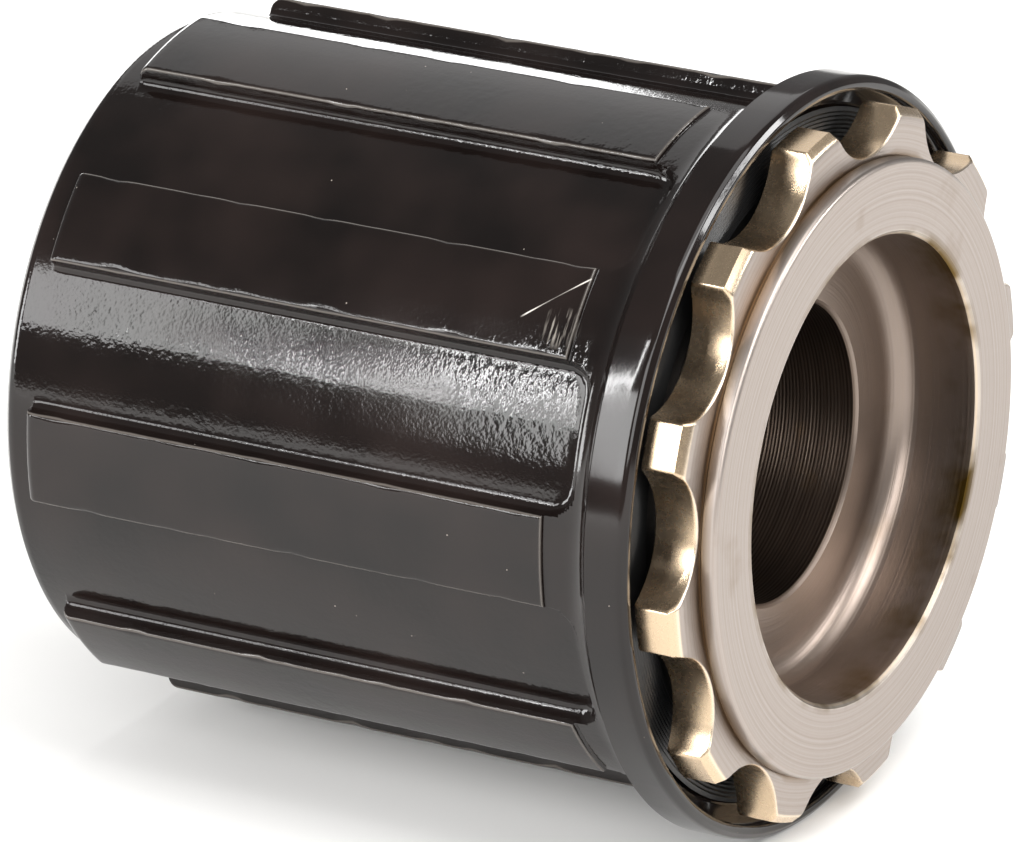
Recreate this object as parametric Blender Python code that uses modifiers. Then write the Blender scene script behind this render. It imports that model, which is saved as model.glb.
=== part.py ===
"""Splined freewheel body of a bicycle rear hub: a cassette driver with its one-way clutch inside.

The axis runs along X. The toothed end that plugs into the hub shell is at +X and the end that takes
the sprocket lock ring is at -X. The origin is on the axis, halfway along the body.
A station is a distance from the hub seat face towards the lock ring end. Angles in the
cross-section run from +Y towards +Z. Lengths are in metres, written as millimetres times MM.
"""

import math

import bmesh
import bpy
from mathutils import Matrix, Vector

MM = 0.001

# Overall and outer shell
OVERALL_LENGTH = 38.4 * MM
LIP_STATION = 2.9 * MM
SPLINE_OUTER_DIAMETER = 34.6 * MM
SPLINE_DEPTH = 1.02 * MM
SPLINE_COUNT = 9
RIDGE_ANGLE = math.radians(15.4)
WIDE_RIDGE_EXTRA_ANGLE = math.radians(2.4)
WIDE_RIDGE_INDEX = 2
FIRST_RIDGE_ANGLE = math.radians(20.5)
RIDGE_INSET = 1.75 * MM
RIDGE_LENGTH = 28.65 * MM
RIDGE_CHAMFER = 0.35 * MM
RIDGE_TAIL_DROP = 0.2 * MM
RIDGE_STEPS = 4
COLLAR_HEIGHT = 1.2 * MM
COLLAR_LAND = 1.75 * MM
COLLAR_FLARE_RADIUS = 2.0 * MM
VALLEY_END_OFFSET = 0.5 * MM
LIP_CHAMFER = 0.35 * MM
LIP_WALL = 0.7 * MM
LIP_BORE_DEPTH = 0.7 * MM
SEAL_SEAT_DEPTH = 1.8 * MM
RIM_CHAMFER = 0.4 * MM
SHELL_WALL = 1.34 * MM

# Ball bearings, two full rows of loose balls
BALL_DIAMETER = 3.175 * MM
BALLS_PER_SET = 25
BALL_SPACING = 0.1 * MM
RACE_CLEARANCE = 0.2 * MM
INBOARD_ROW_STATION = 7.4 * MM
OUTBOARD_ROW_STATION = 27.8 * MM
RACE_ARC_STEPS = 4

# One-way clutch
RATCHET_TEETH = 24
RATCHET_TOOTH_HEIGHT = 1.0 * MM
RATCHET_ROOT_INSET = 0.2 * MM
RATCHET_START_STATION = 12.0 * MM
RATCHET_RELIEF = 2.0 * MM
PAWL_COUNT = 2
PAWL_FIRST_ANGLE = math.radians(75.0)
PAWL_WIDTH = 7.6 * MM
PAWL_SIDE_CLEARANCE = 0.3 * MM
PAWL_PIVOT_RADIUS = 1.15 * MM
PAWL_PIVOT_DEPTH = 1.55 * MM
PAWL_SWEEP = math.radians(32.0)
PAWL_TIP_CLEARANCE = 0.25 * MM
PAWL_FOLD = math.radians(10.0)
POCKET_CLEARANCE = 0.25 * MM
SPRING_ROOM = 0.6 * MM
SPRING_THICKNESS = 0.15 * MM
SPRING_FLOOR_GAP = 0.1 * MM
SPRING_WIDTH = 4.6 * MM
SPRING_LENGTH = 2.8 * MM
SPRING_END_GAP = 0.5 * MM

# Inner body
SEAT_FACE_WIDTH = 3.65 * MM
BORE_STEP = 4.0 * MM
SEAT_BORE_DEPTH = 4.55 * MM
SEAT_BORE_FILLET = 1.4 * MM
BOSS_STEP = 0.15 * MM
BOSS_HEIGHT = 0.9 * MM
BOSS_CHAMFER = 0.25 * MM
TOOTH_COUNT = 12
TOOTH_LIP_GAP = 0.5 * MM
TOOTH_DEPTH = 2.15 * MM
TOOTH_TIP_WIDTH = 2.4 * MM
TOOTH_THICKNESS = 2.2 * MM
TOOTH_FIRST_ANGLE = math.radians(8.5)
TOOTH_TIP_STEPS = 2
SCALLOP_STEPS = 8

# Outboard bearing cup and what closes the bearings
SOCKET_WALL = 1.415 * MM
CUP_THREAD_LENGTH = 4.8 * MM
CUP_WALL = 1.45 * MM
CUP_FLANGE_THICKNESS = 1.9 * MM
CUP_RUNNING_GAP = 0.4 * MM
CUP_AXLE_RACE_RADIUS = 3.4 * MM
CUP_NOTCH_WIDTH = 3.0 * MM
CUP_NOTCH_DEPTH = 0.9 * MM
CUP_NOTCH_LENGTH = 2.6 * MM
SHIM_THICKNESS = 0.25 * MM
THREAD_CLEARANCE = 0.15 * MM
SEAL_THICKNESS = 1.0 * MM
DUST_RING_THICKNESS = 1.0 * MM
DUST_RING_WIDTH = 2.0 * MM

# Clearances between neighbours that touch on the real part
FACE_GAP = 0.05 * MM
FIT_GAP = 0.3 * MM
TURNED_STEPS = 48
CUTTER_MARGIN = 0.6 * MM

# Radii that follow from the sizes above
HUB_FACE_X = OVERALL_LENGTH / 2
SPLINE_RADIUS = SPLINE_OUTER_DIAMETER / 2
ROOT_RADIUS = SPLINE_RADIUS - SPLINE_DEPTH
COLLAR_RADIUS = SPLINE_RADIUS + COLLAR_HEIGHT
LIP_BORE_RADIUS = COLLAR_RADIUS - LIP_WALL
RACE_RADIUS = BALL_DIAMETER / 2 + RACE_CLEARANCE
RACE_BORE_RADIUS = ROOT_RADIUS - SHELL_WALL
BALL_PITCH_RADIUS = RACE_BORE_RADIUS - RACE_RADIUS
CORE_RADIUS = BALL_PITCH_RADIUS - RACE_RADIUS
RATCHET_ROOT_RADIUS = BALL_PITCH_RADIUS - RATCHET_ROOT_INSET
RATCHET_TIP_RADIUS = RATCHET_ROOT_RADIUS - RATCHET_TOOTH_HEIGHT
TOOTH_TIP_RADIUS = LIP_BORE_RADIUS - TOOTH_LIP_GAP
TOOTH_ROOT_RADIUS = TOOTH_TIP_RADIUS - TOOTH_DEPTH
BOSS_RADIUS = TOOTH_ROOT_RADIUS - BOSS_STEP
SEAT_BORE_RADIUS = BOSS_RADIUS - SEAT_FACE_WIDTH
BORE_RADIUS = SEAT_BORE_RADIUS - BORE_STEP
PAWL_PIVOT_R = CORE_RADIUS - PAWL_PIVOT_DEPTH
CUP_THREAD_RADIUS = CORE_RADIUS - SOCKET_WALL
CUP_BORE_RADIUS = CUP_THREAD_RADIUS - CUP_WALL
CUP_FLANGE_RADIUS = RACE_BORE_RADIUS - CUP_RUNNING_GAP

# Stations that follow from the sizes above
TOOTH_BACK_STATION = BOSS_HEIGHT + TOOTH_THICKNESS
RIDGE_START_STATION = OVERALL_LENGTH - RIDGE_INSET
RIDGE_END_STATION = RIDGE_START_STATION - RIDGE_LENGTH
TAIL_RADIUS = SPLINE_RADIUS - RIDGE_TAIL_DROP
FLARE_CENTRE_RADIUS = TAIL_RADIUS + COLLAR_FLARE_RADIUS
FLARE_TOP_ANGLE = math.acos((FLARE_CENTRE_RADIUS - COLLAR_RADIUS) / COLLAR_FLARE_RADIUS)
FLARE_END_STATION = LIP_STATION + COLLAR_LAND + LIP_CHAMFER
FLARE_CENTRE_STATION = FLARE_END_STATION + COLLAR_FLARE_RADIUS * math.sin(FLARE_TOP_ANGLE)
VALLEY_END_ANGLE = math.asin(VALLEY_END_OFFSET / COLLAR_FLARE_RADIUS)
VALLEY_END_STATION = FLARE_CENTRE_STATION - VALLEY_END_OFFSET
VALLEY_END_FILLET = TAIL_RADIUS - ROOT_RADIUS
SEAL_SEAT_STATION = LIP_STATION + LIP_BORE_DEPTH
SEAL_SEAT_END_STATION = SEAL_SEAT_STATION + SEAL_SEAT_DEPTH
OUTBOARD_RACE_STATION = OUTBOARD_ROW_STATION - RACE_RADIUS
RATCHET_END_STATION = OUTBOARD_RACE_STATION - RATCHET_RELIEF
CORE_END_STATION = OUTBOARD_ROW_STATION - RACE_RADIUS
SOCKET_STATION = CORE_END_STATION - CUP_THREAD_LENGTH
PAWL_STATION = RATCHET_START_STATION + PAWL_SIDE_CLEARANCE + PAWL_WIDTH / 2
CUP_SHOULDER_STATION = CORE_END_STATION + SHIM_THICKNESS + 2 * FACE_GAP
CUP_FLANGE_STATION = OUTBOARD_ROW_STATION + RACE_RADIUS
CUP_FACE_STATION = CUP_FLANGE_STATION + CUP_FLANGE_THICKNESS

BALL_COUNT = min(
    BALLS_PER_SET,
    int(2 * math.pi * BALL_PITCH_RADIUS / (BALL_DIAMETER + BALL_SPACING)),
)

# Local XY outlines with their extrusion along Z are turned so that Z lies along the part's axis
ACROSS_AXIS = Matrix(((0, 0, 1), (1, 0, 0), (0, 1, 0))).to_4x4()

FINISHES = {
    "black_enamelled_steel": ((0.012, 0.011, 0.011), 0.28, 0.0),
    "nickel_plated_steel": ((0.50, 0.42, 0.35), 0.34, 1.0),
    "hardened_steel": ((0.36, 0.36, 0.37), 0.30, 1.0),
    "polished_ball_steel": ((0.62, 0.62, 0.63), 0.08, 1.0),
    "spring_strip": ((0.30, 0.29, 0.28), 0.35, 1.0),
    "black_rubber": ((0.015, 0.015, 0.016), 0.75, 0.0),
}


def clear_scene():
    """Empties the scene and makes the collections for the parts and their cutters."""
    for obj in list(bpy.data.objects):
        bpy.data.objects.remove(obj)
    parts = bpy.data.collections.new("freewheel_body")
    cutters = bpy.data.collections.new("cutters")
    for collection in (parts, cutters):
        bpy.context.scene.collection.children.link(collection)
    return parts, cutters


def make_materials():
    """One Principled material for each finish."""
    made = {}
    for name, (colour, roughness, metallic) in FINISHES.items():
        material = bpy.data.materials.new(name)
        material.use_nodes = True
        shader = material.node_tree.nodes["Principled BSDF"]
        shader.inputs["Base Color"].default_value = (*colour, 1.0)
        shader.inputs["Roughness"].default_value = roughness
        shader.inputs["Metallic"].default_value = metallic
        made[name] = material
    return made


PARTS, CUTTERS = clear_scene()
MATERIALS = make_materials()


def station_x(station):
    """World X of a station."""
    return HUB_FACE_X - station


def polar(radius, angle):
    """Point of the cross-section plane at a radius and an angle."""
    return Vector((radius * math.cos(angle), radius * math.sin(angle)))


def arc(centre, radius, start, end, steps):
    """Points on an arc, both ends included, as (first, second) coordinate pairs."""
    angles = [start + (end - start) * i / steps for i in range(steps + 1)]
    return [(centre[0] + radius * math.cos(a), centre[1] + radius * math.sin(a)) for a in angles]


def add_object(name, mesh, finish=None, cutter=False):
    """Links a mesh object as a finished part or as a hidden cutter."""
    obj = bpy.data.objects.new(name, mesh)
    (CUTTERS if cutter else PARTS).objects.link(obj)
    if cutter:
        obj.hide_render = True
        obj.display_type = "WIRE"
    if finish:
        mesh.materials.append(MATERIALS[finish])
    return obj


def profile_mesh(name, profile):
    """Closed loop of edges in the XZ plane from (station, radius) pairs, in order round the section."""
    mesh = bpy.data.meshes.new(name)
    section = bmesh.new()
    verts = [section.verts.new((station_x(s), 0.0, r)) for s, r in profile]
    for first, second in zip(verts, verts[1:] + verts[:1]):
        section.edges.new((first, second))
    section.to_mesh(mesh)
    section.free()
    return mesh


def turned(name, profile, finish=None, cutter=False):
    """Ring turned about the X axis. The profile starts inside at the hub end and goes round by the outside."""
    obj = add_object(name, profile_mesh(name, profile), finish, cutter)
    screw = obj.modifiers.new("turn", "SCREW")
    screw.axis = "X"
    screw.angle = 2 * math.pi
    screw.steps = screw.render_steps = TURNED_STEPS
    screw.use_merge_vertices = True
    screw.merge_threshold = 0.01 * MM
    screw.use_normal_calculate = True
    screw.use_normal_flip = True
    screw.use_smooth_shade = True
    return obj


def swept_ridge(name, profile, start_angle, sweep, steps):
    """Solid made by turning a filled (station, radius) profile through part of a turn about the axis."""
    mesh = bpy.data.meshes.new(name)
    solid = bmesh.new()
    start = Matrix.Rotation(start_angle - math.pi / 2, 4, "X")
    verts = [solid.verts.new(start @ Vector((station_x(s), 0.0, r))) for s, r in profile]
    face = solid.faces.new(verts)
    bmesh.ops.spin(
        solid, geom=[face, *face.edges, *verts], axis=(1, 0, 0), cent=(0, 0, 0),
        angle=sweep, steps=steps, use_duplicate=False,
    )
    bmesh.ops.recalc_face_normals(solid, faces=solid.faces)
    solid.to_mesh(mesh)
    solid.free()
    return add_object(name, mesh, cutter=True)


def prism(name, outlines, station, length, finish=None, cutter=False, place=(0.0, 0.0)):
    """Flat outline, with any inner holes, extruded along the axis from a station away from the hub."""
    curve = bpy.data.curves.new(name, "CURVE")
    curve.dimensions = "2D"
    curve.fill_mode = "BOTH"
    curve.extrude = length / 2
    for outline in outlines:
        spline = curve.splines.new("POLY")
        spline.points.add(len(outline) - 1)
        for point, (y, z) in zip(spline.points, outline):
            point.co = (y, z, 0.0, 1.0)
        spline.use_cyclic_u = True
    flat = bpy.data.objects.new(name + "_outline", curve)
    CUTTERS.objects.link(flat)
    bpy.context.view_layer.update()
    graph = bpy.context.evaluated_depsgraph_get()
    mesh = bpy.data.meshes.new_from_object(flat.evaluated_get(graph))
    mesh.name = name
    bpy.data.objects.remove(flat)
    solid = bmesh.new()
    solid.from_mesh(mesh)
    bmesh.ops.remove_doubles(solid, verts=solid.verts, dist=0.001 * MM)
    bmesh.ops.recalc_face_normals(solid, faces=solid.faces)
    solid.to_mesh(mesh)
    solid.free()
    obj = add_object(name, mesh, finish, cutter)
    middle = Vector((station_x(station + length / 2), place[0], place[1]))
    obj.matrix_world = Matrix.Translation(middle) @ ACROSS_AXIS
    return obj


def boolean(obj, other, operation):
    """Cuts or joins with another mesh object."""
    modifier = obj.modifiers.new(f"{operation.lower()}_{other.name}", "BOOLEAN")
    modifier.operation = operation
    modifier.object = other
    modifier.solver = "EXACT"


def seal_seat_radius(station):
    """Radius of the conical seat that holds the hub side seal, at a station on it."""
    share = (station - SEAL_SEAT_STATION) / SEAL_SEAT_DEPTH
    return LIP_BORE_RADIUS + share * (RACE_BORE_RADIUS - LIP_BORE_RADIUS)


def shell_profile():
    """Section of the shell without its ridges and ratchet teeth."""
    inboard = (INBOARD_ROW_STATION, BALL_PITCH_RADIUS)
    outboard = (OUTBOARD_ROW_STATION, BALL_PITCH_RADIUS)
    flare = (FLARE_CENTRE_STATION, FLARE_CENTRE_RADIUS)
    valley_end = (VALLEY_END_STATION + VALLEY_END_FILLET, TAIL_RADIUS)
    relief = RATCHET_ROOT_RADIUS + RATCHET_ROOT_INSET / 2
    right, up, left = 0.0, math.pi / 2, math.pi
    return [
        (SEAL_SEAT_STATION, LIP_BORE_RADIUS),
        (LIP_STATION, LIP_BORE_RADIUS),
        (LIP_STATION, COLLAR_RADIUS - LIP_CHAMFER),
        (LIP_STATION + LIP_CHAMFER, COLLAR_RADIUS),
        *arc(flare, COLLAR_FLARE_RADIUS, -up - FLARE_TOP_ANGLE, -up - VALLEY_END_ANGLE, RACE_ARC_STEPS),
        *arc(valley_end, VALLEY_END_FILLET, -left, -up, RACE_ARC_STEPS - 1),
        (OVERALL_LENGTH - RIM_CHAMFER, ROOT_RADIUS),
        (OVERALL_LENGTH, ROOT_RADIUS - RIM_CHAMFER),
        (OVERALL_LENGTH, RACE_BORE_RADIUS + RIM_CHAMFER),
        (OVERALL_LENGTH - RIM_CHAMFER, RACE_BORE_RADIUS),
        *arc(outboard, RACE_RADIUS, up, left, RACE_ARC_STEPS),
        (OUTBOARD_RACE_STATION, relief),
        (RATCHET_END_STATION, relief),
        (RATCHET_END_STATION, RATCHET_TIP_RADIUS),
        (INBOARD_ROW_STATION + RACE_RADIUS, RATCHET_TIP_RADIUS),
        *arc(inboard, RACE_RADIUS, right, up, RACE_ARC_STEPS),
        (SEAL_SEAT_END_STATION, RACE_BORE_RADIUS),
    ]


def ridge_profile():
    """Lengthwise section of one spline ridge, sunk half way into the shell wall."""
    sunk = ROOT_RADIUS - SHELL_WALL / 2
    tail_end = VALLEY_END_STATION - VALLEY_END_OFFSET / 2
    return [
        (RIDGE_START_STATION, sunk),
        (RIDGE_START_STATION, SPLINE_RADIUS - RIDGE_CHAMFER),
        (RIDGE_START_STATION - RIDGE_CHAMFER, SPLINE_RADIUS),
        (RIDGE_END_STATION, SPLINE_RADIUS),
        (RIDGE_END_STATION, TAIL_RADIUS),
        (tail_end, TAIL_RADIUS),
        (tail_end, sunk),
    ]


def ratchet_outline():
    """Saw-tooth ring: each space drops at its drive face and ramps in towards the next drive face."""
    pitch = 2 * math.pi / RATCHET_TEETH
    tip = folded(pawl_tip()) + Vector((PAWL_PIVOT_R, 0.0))
    drive_face = PAWL_FIRST_ANGLE + math.atan2(tip.y, tip.x) - PAWL_TIP_CLEARANCE / RATCHET_ROOT_RADIUS
    points = []
    for tooth in range(RATCHET_TEETH):
        face = drive_face + tooth * pitch
        points.append(polar(RATCHET_TIP_RADIUS - CUTTER_MARGIN / 6, face))
        points.append(polar(RATCHET_ROOT_RADIUS, face))
        points.append(polar(RATCHET_ROOT_RADIUS, face + pitch / 5))
    return points


def build_shell():
    """Splined outer shell with the collar, the ball races and the ratchet teeth."""
    shell = turned("splined_shell", shell_profile(), "black_enamelled_steel")
    pitch = 2 * math.pi / SPLINE_COUNT
    for index in range(SPLINE_COUNT):
        extra = WIDE_RIDGE_EXTRA_ANGLE if index == WIDE_RIDGE_INDEX else 0.0
        start = FIRST_RIDGE_ANGLE + index * pitch - RIDGE_ANGLE / 2
        ridge = swept_ridge(
            f"ridge_{index + 1}", ridge_profile(), start, RIDGE_ANGLE + extra, RIDGE_STEPS
        )
        boolean(shell, ridge, "UNION")
    length = RATCHET_END_STATION - RATCHET_START_STATION + RATCHET_RELIEF / 2
    teeth = prism("ratchet_cut", [ratchet_outline()], RATCHET_START_STATION, length, cutter=True)
    boolean(shell, teeth, "DIFFERENCE")
    return shell


def core_profile():
    """Section of the inner body without its driving teeth and pawl pockets."""
    inboard = (INBOARD_ROW_STATION, BALL_PITCH_RADIUS)
    fillet = (SEAT_BORE_DEPTH - SEAT_BORE_FILLET, SEAT_BORE_RADIUS - SEAT_BORE_FILLET)
    neck_start = BOSS_HEIGHT + TOOTH_THICKNESS / 2
    quarter = math.pi / 2
    return [
        (0.0, SEAT_BORE_RADIUS),
        (0.0, BOSS_RADIUS - BOSS_CHAMFER),
        (BOSS_CHAMFER, BOSS_RADIUS),
        (neck_start, BOSS_RADIUS),
        (neck_start, BALL_PITCH_RADIUS),
        *arc(inboard, RACE_RADIUS, 2 * quarter, 3 * quarter, RACE_ARC_STEPS),
        (CORE_END_STATION, CORE_RADIUS),
        (CORE_END_STATION, CUP_THREAD_RADIUS),
        (SOCKET_STATION, CUP_THREAD_RADIUS),
        (SOCKET_STATION, BORE_RADIUS),
        (SEAT_BORE_DEPTH, BORE_RADIUS),
        *arc(fillet, SEAT_BORE_FILLET, 0.0, quarter, RACE_ARC_STEPS),
    ]


def scallop_arc(middle_angle, half_angle):
    """Hollow between two driving teeth, a round cut through both tooth corners and the root."""
    half_width = TOOTH_TIP_RADIUS * math.sin(half_angle)
    corner_depth = TOOTH_TIP_RADIUS * math.cos(half_angle) - TOOTH_ROOT_RADIUS
    radius = (half_width**2 + corner_depth**2) / (2 * corner_depth)
    centre = polar(TOOTH_ROOT_RADIUS + radius, middle_angle)
    reach = math.atan2(half_width, radius - corner_depth)
    inward = middle_angle + math.pi
    return arc(centre, radius, inward + reach, inward - reach, SCALLOP_STEPS)


def tooth_outline():
    """Outline of the toothed flange that drives the hub."""
    pitch = 2 * math.pi / TOOTH_COUNT
    half_tooth = math.asin(TOOTH_TIP_WIDTH / 2 / TOOTH_TIP_RADIUS)
    points = []
    for index in range(TOOTH_COUNT):
        tooth = TOOTH_FIRST_ANGLE + index * pitch
        tip = arc((0.0, 0.0), TOOTH_TIP_RADIUS, tooth - half_tooth, tooth + half_tooth, TOOTH_TIP_STEPS)
        points.extend(tip)
        points.extend(scallop_arc(tooth + pitch / 2, pitch / 2 - half_tooth)[1:-1])
    return points


def pivot_arc(radius):
    """Round end about the pivot, from the outer side round the back to the inner side."""
    points = arc((0.0, 0.0), radius, math.pi * 0.1, math.pi * 1.05, 2 * RACE_ARC_STEPS)
    return [Vector(p) for p in points]


def pawl_tip():
    """Working corner of a raised pawl, from its pivot, for a pivot at angle zero and the tip towards -angle."""
    return polar(RATCHET_ROOT_RADIUS - 2 * PAWL_TIP_CLEARANCE, -PAWL_SWEEP) - Vector((PAWL_PIVOT_R, 0.0))


def pawl_toe():
    """Inner corner of a raised pawl's end face, from its pivot."""
    return polar(CORE_RADIUS - PAWL_PIVOT_RADIUS / 2, -PAWL_SWEEP) - Vector((PAWL_PIVOT_R, 0.0))


def folded(point):
    """Place of a raised pawl's point once the pawl is pressed into its pocket."""
    return Matrix.Rotation(-PAWL_FOLD, 2) @ point


def pawl_outline():
    """Section of a pressed pawl about its pivot, for a pivot at angle zero and the tip towards -angle."""
    shoulder_angle = 2 * math.pi / RATCHET_TEETH - PAWL_SWEEP
    shoulder = polar(RATCHET_TIP_RADIUS - 2 * PAWL_TIP_CLEARANCE, shoulder_angle)
    arm = [pawl_toe(), pawl_tip(), shoulder - Vector((PAWL_PIVOT_R, 0.0))]
    return [folded(p) for p in pivot_arc(PAWL_PIVOT_RADIUS) + arm]


def pocket_floor():
    """The two ends of a pocket's flat floor, from the pivot: below the pivot and beyond the pawl's toe."""
    toe = folded(pawl_toe())
    far_end = toe + toe.normalized() * 2 * POCKET_CLEARANCE - Vector((SPRING_ROOM, 0.0))
    return pivot_arc(PAWL_PIVOT_RADIUS + POCKET_CLEARANCE)[-1], far_end


def pocket_outline():
    """Room for one pawl between its raised and pressed positions, with its leaf spring under it."""
    pivot = Vector((PAWL_PIVOT_R, 0.0))
    back = pivot_arc(PAWL_PIVOT_RADIUS + POCKET_CLEARANCE)
    far_end = pocket_floor()[1]
    end_angle = math.atan2(far_end.y, far_end.x + PAWL_PIVOT_R)
    outside = [
        polar(CORE_RADIUS + CUTTER_MARGIN, end_angle) - pivot,
        polar(CORE_RADIUS + 2 * CUTTER_MARGIN, end_angle / 2) - pivot,
        Vector((CORE_RADIUS + CUTTER_MARGIN - PAWL_PIVOT_R, back[0].y)),
    ]
    return back + [far_end] + outside


def spring_outline():
    """Leaf spring pressed flat on the pocket's floor below the pawl's toe."""
    near_end, far_end = pocket_floor()
    along = (near_end - far_end).normalized()
    outwards = Vector((-along.y, along.x))
    if outwards.x < 0:
        outwards = -outwards
    start = far_end + along * SPRING_END_GAP + outwards * SPRING_FLOOR_GAP
    end = start + along * SPRING_LENGTH
    return [start, end, end + outwards * SPRING_THICKNESS, start + outwards * SPRING_THICKNESS]


def turn_outline(outline, angle):
    """Outline turned about its own origin."""
    return [Matrix.Rotation(angle, 2) @ Vector(p) for p in outline]


def pawl_places():
    """Angle and cross-section position of each pawl's pivot."""
    angles = [PAWL_FIRST_ANGLE + i * 2 * math.pi / PAWL_COUNT for i in range(PAWL_COUNT)]
    return [(angle, polar(PAWL_PIVOT_R, angle)) for angle in angles]


def build_core():
    """Inner body: hub seat, driving teeth, cone, pawl pockets and the socket for the bearing cup."""
    core = turned("inner_body", core_profile(), "nickel_plated_steel")
    hole = arc((0.0, 0.0), (SEAT_BORE_RADIUS + BALL_PITCH_RADIUS) / 2, 0.0, 2 * math.pi, TURNED_STEPS)
    teeth = prism("driving_teeth", [tooth_outline(), hole[:-1]], BOSS_HEIGHT, TOOTH_THICKNESS, cutter=True)
    boolean(core, teeth, "UNION")
    length = PAWL_WIDTH + 2 * PAWL_SIDE_CLEARANCE
    for index, (angle, place) in enumerate(pawl_places()):
        outline = turn_outline(pocket_outline(), angle)
        start = PAWL_STATION - length / 2
        pocket = prism(f"pawl_pocket_{index + 1}", [outline], start, length, cutter=True, place=place)
        boolean(core, pocket, "DIFFERENCE")
    return core


def build_clutch():
    """Pawls pressed into their pockets, as when the shell overruns, each with its leaf spring."""
    pieces = (
        ("pawl", pawl_outline(), PAWL_WIDTH, "hardened_steel"),
        ("pawl_spring", spring_outline(), SPRING_WIDTH, "spring_strip"),
    )
    for index, (angle, place) in enumerate(pawl_places()):
        for name, outline, width, finish in pieces:
            start = PAWL_STATION - width / 2
            prism(f"{name}_{index + 1}", [turn_outline(outline, angle)], start, width, finish, place=place)


def cup_profile():
    """Section of the bearing cup: threaded spigot, cone for the outboard balls and cup for the axle's balls."""
    outboard = (OUTBOARD_ROW_STATION, BALL_PITCH_RADIUS)
    quarter = math.pi / 2
    spigot_radius = CUP_THREAD_RADIUS - THREAD_CLEARANCE
    axle_race = (CUP_FACE_STATION, CUP_BORE_RADIUS)
    return [
        (SOCKET_STATION + FIT_GAP, CUP_BORE_RADIUS),
        (SOCKET_STATION + FIT_GAP, spigot_radius),
        (CUP_SHOULDER_STATION, spigot_radius),
        (CUP_SHOULDER_STATION, CORE_RADIUS),
        *arc(outboard, RACE_RADIUS, -quarter, 0.0, RACE_ARC_STEPS),
        (CUP_FLANGE_STATION, CUP_FLANGE_RADIUS),
        (CUP_FACE_STATION, CUP_FLANGE_RADIUS),
        *arc(axle_race, CUP_AXLE_RACE_RADIUS, quarter, 2 * quarter, RACE_ARC_STEPS),
    ]


def build_cup():
    """Outboard bearing cup with two tool notches in its face."""
    cup = turned("bearing_cup", cup_profile(), "hardened_steel")
    for side in (-1, 1):
        outer = side * (CUP_FLANGE_RADIUS + CUTTER_MARGIN)
        inner = side * (CUP_FLANGE_RADIUS - CUP_NOTCH_LENGTH)
        half = CUP_NOTCH_WIDTH / 2
        outline = [(inner, -half), (outer, -half), (outer, half), (inner, half)]
        start = CUP_FACE_STATION - CUP_NOTCH_DEPTH
        notch = prism(
            f"tool_notch_{'left' if side < 0 else 'right'}", [outline], start,
            CUP_NOTCH_DEPTH + CUTTER_MARGIN, cutter=True,
        )
        boolean(cup, notch, "DIFFERENCE")


def build_rings():
    """Bearing shim, hub side seal and lock ring side dust ring."""
    shim_start = CORE_END_STATION + FACE_GAP
    turned(
        "bearing_shim",
        [
            (shim_start, CUP_THREAD_RADIUS),
            (shim_start, CORE_RADIUS),
            (shim_start + SHIM_THICKNESS, CORE_RADIUS),
            (shim_start + SHIM_THICKNESS, CUP_THREAD_RADIUS),
        ],
        "hardened_steel",
    )
    front = TOOTH_BACK_STATION + FIT_GAP
    back = SEAL_SEAT_END_STATION - FIT_GAP
    inner = BALL_PITCH_RADIUS + FIT_GAP
    turned(
        "hub_side_seal",
        [
            (back - SEAL_THICKNESS, inner),
            (front, inner + SEAL_THICKNESS),
            (front, LIP_BORE_RADIUS - FIT_GAP),
            (SEAL_SEAT_STATION, LIP_BORE_RADIUS - FIT_GAP),
            (back, seal_seat_radius(back) - FIT_GAP),
            (back, inner),
        ],
        "black_rubber",
    )
    ring_start = CUP_FACE_STATION + FIT_GAP
    ring_outer = RACE_BORE_RADIUS - FACE_GAP
    turned(
        "outboard_dust_ring",
        [
            (ring_start, ring_outer - DUST_RING_WIDTH),
            (ring_start, ring_outer),
            (ring_start + DUST_RING_THICKNESS, ring_outer),
            (ring_start + DUST_RING_THICKNESS, ring_outer - DUST_RING_WIDTH),
        ],
        "black_rubber",
    )


def build_balls():
    """Two full rows of loose balls, each ball its own object on a shared mesh."""
    bpy.ops.mesh.primitive_ico_sphere_add(subdivisions=2, radius=BALL_DIAMETER / 2)
    pattern = bpy.context.object
    pattern.data.shade_smooth()
    pattern.data.materials.append(MATERIALS["polished_ball_steel"])
    rows = {"inboard_ball": INBOARD_ROW_STATION, "outboard_ball": OUTBOARD_ROW_STATION}
    for row, station in rows.items():
        for index in range(BALL_COUNT):
            ball = bpy.data.objects.new(f"{row}_{index + 1:02d}", pattern.data)
            y, z = polar(BALL_PITCH_RADIUS, 2 * math.pi * index / BALL_COUNT)
            ball.location = (station_x(station), y, z)
            PARTS.objects.link(ball)
    bpy.data.objects.remove(pattern)


build_shell()
build_core()
build_clutch()
build_cup()
build_rings()
build_balls()
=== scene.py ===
"""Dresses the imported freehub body: enamelled shell, nickel plated core, seals, clutch and bearings.

The hub axis lies along X with the toothed hub end at +X. A station is a distance in millimetres from
the hub seat face towards the lock ring end, and an angle in the cross-section runs from +Y towards +Z.
"""

import logging
import math
from dataclasses import dataclass
from enum import Enum
from functools import partial
from typing import Any, Callable, Sequence

import bmesh
import bpy
import numpy as np
from bpy.types import Material, Node, NodeSocket, NodeTree, Object
from mathutils import Euler, Matrix, Vector


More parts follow.
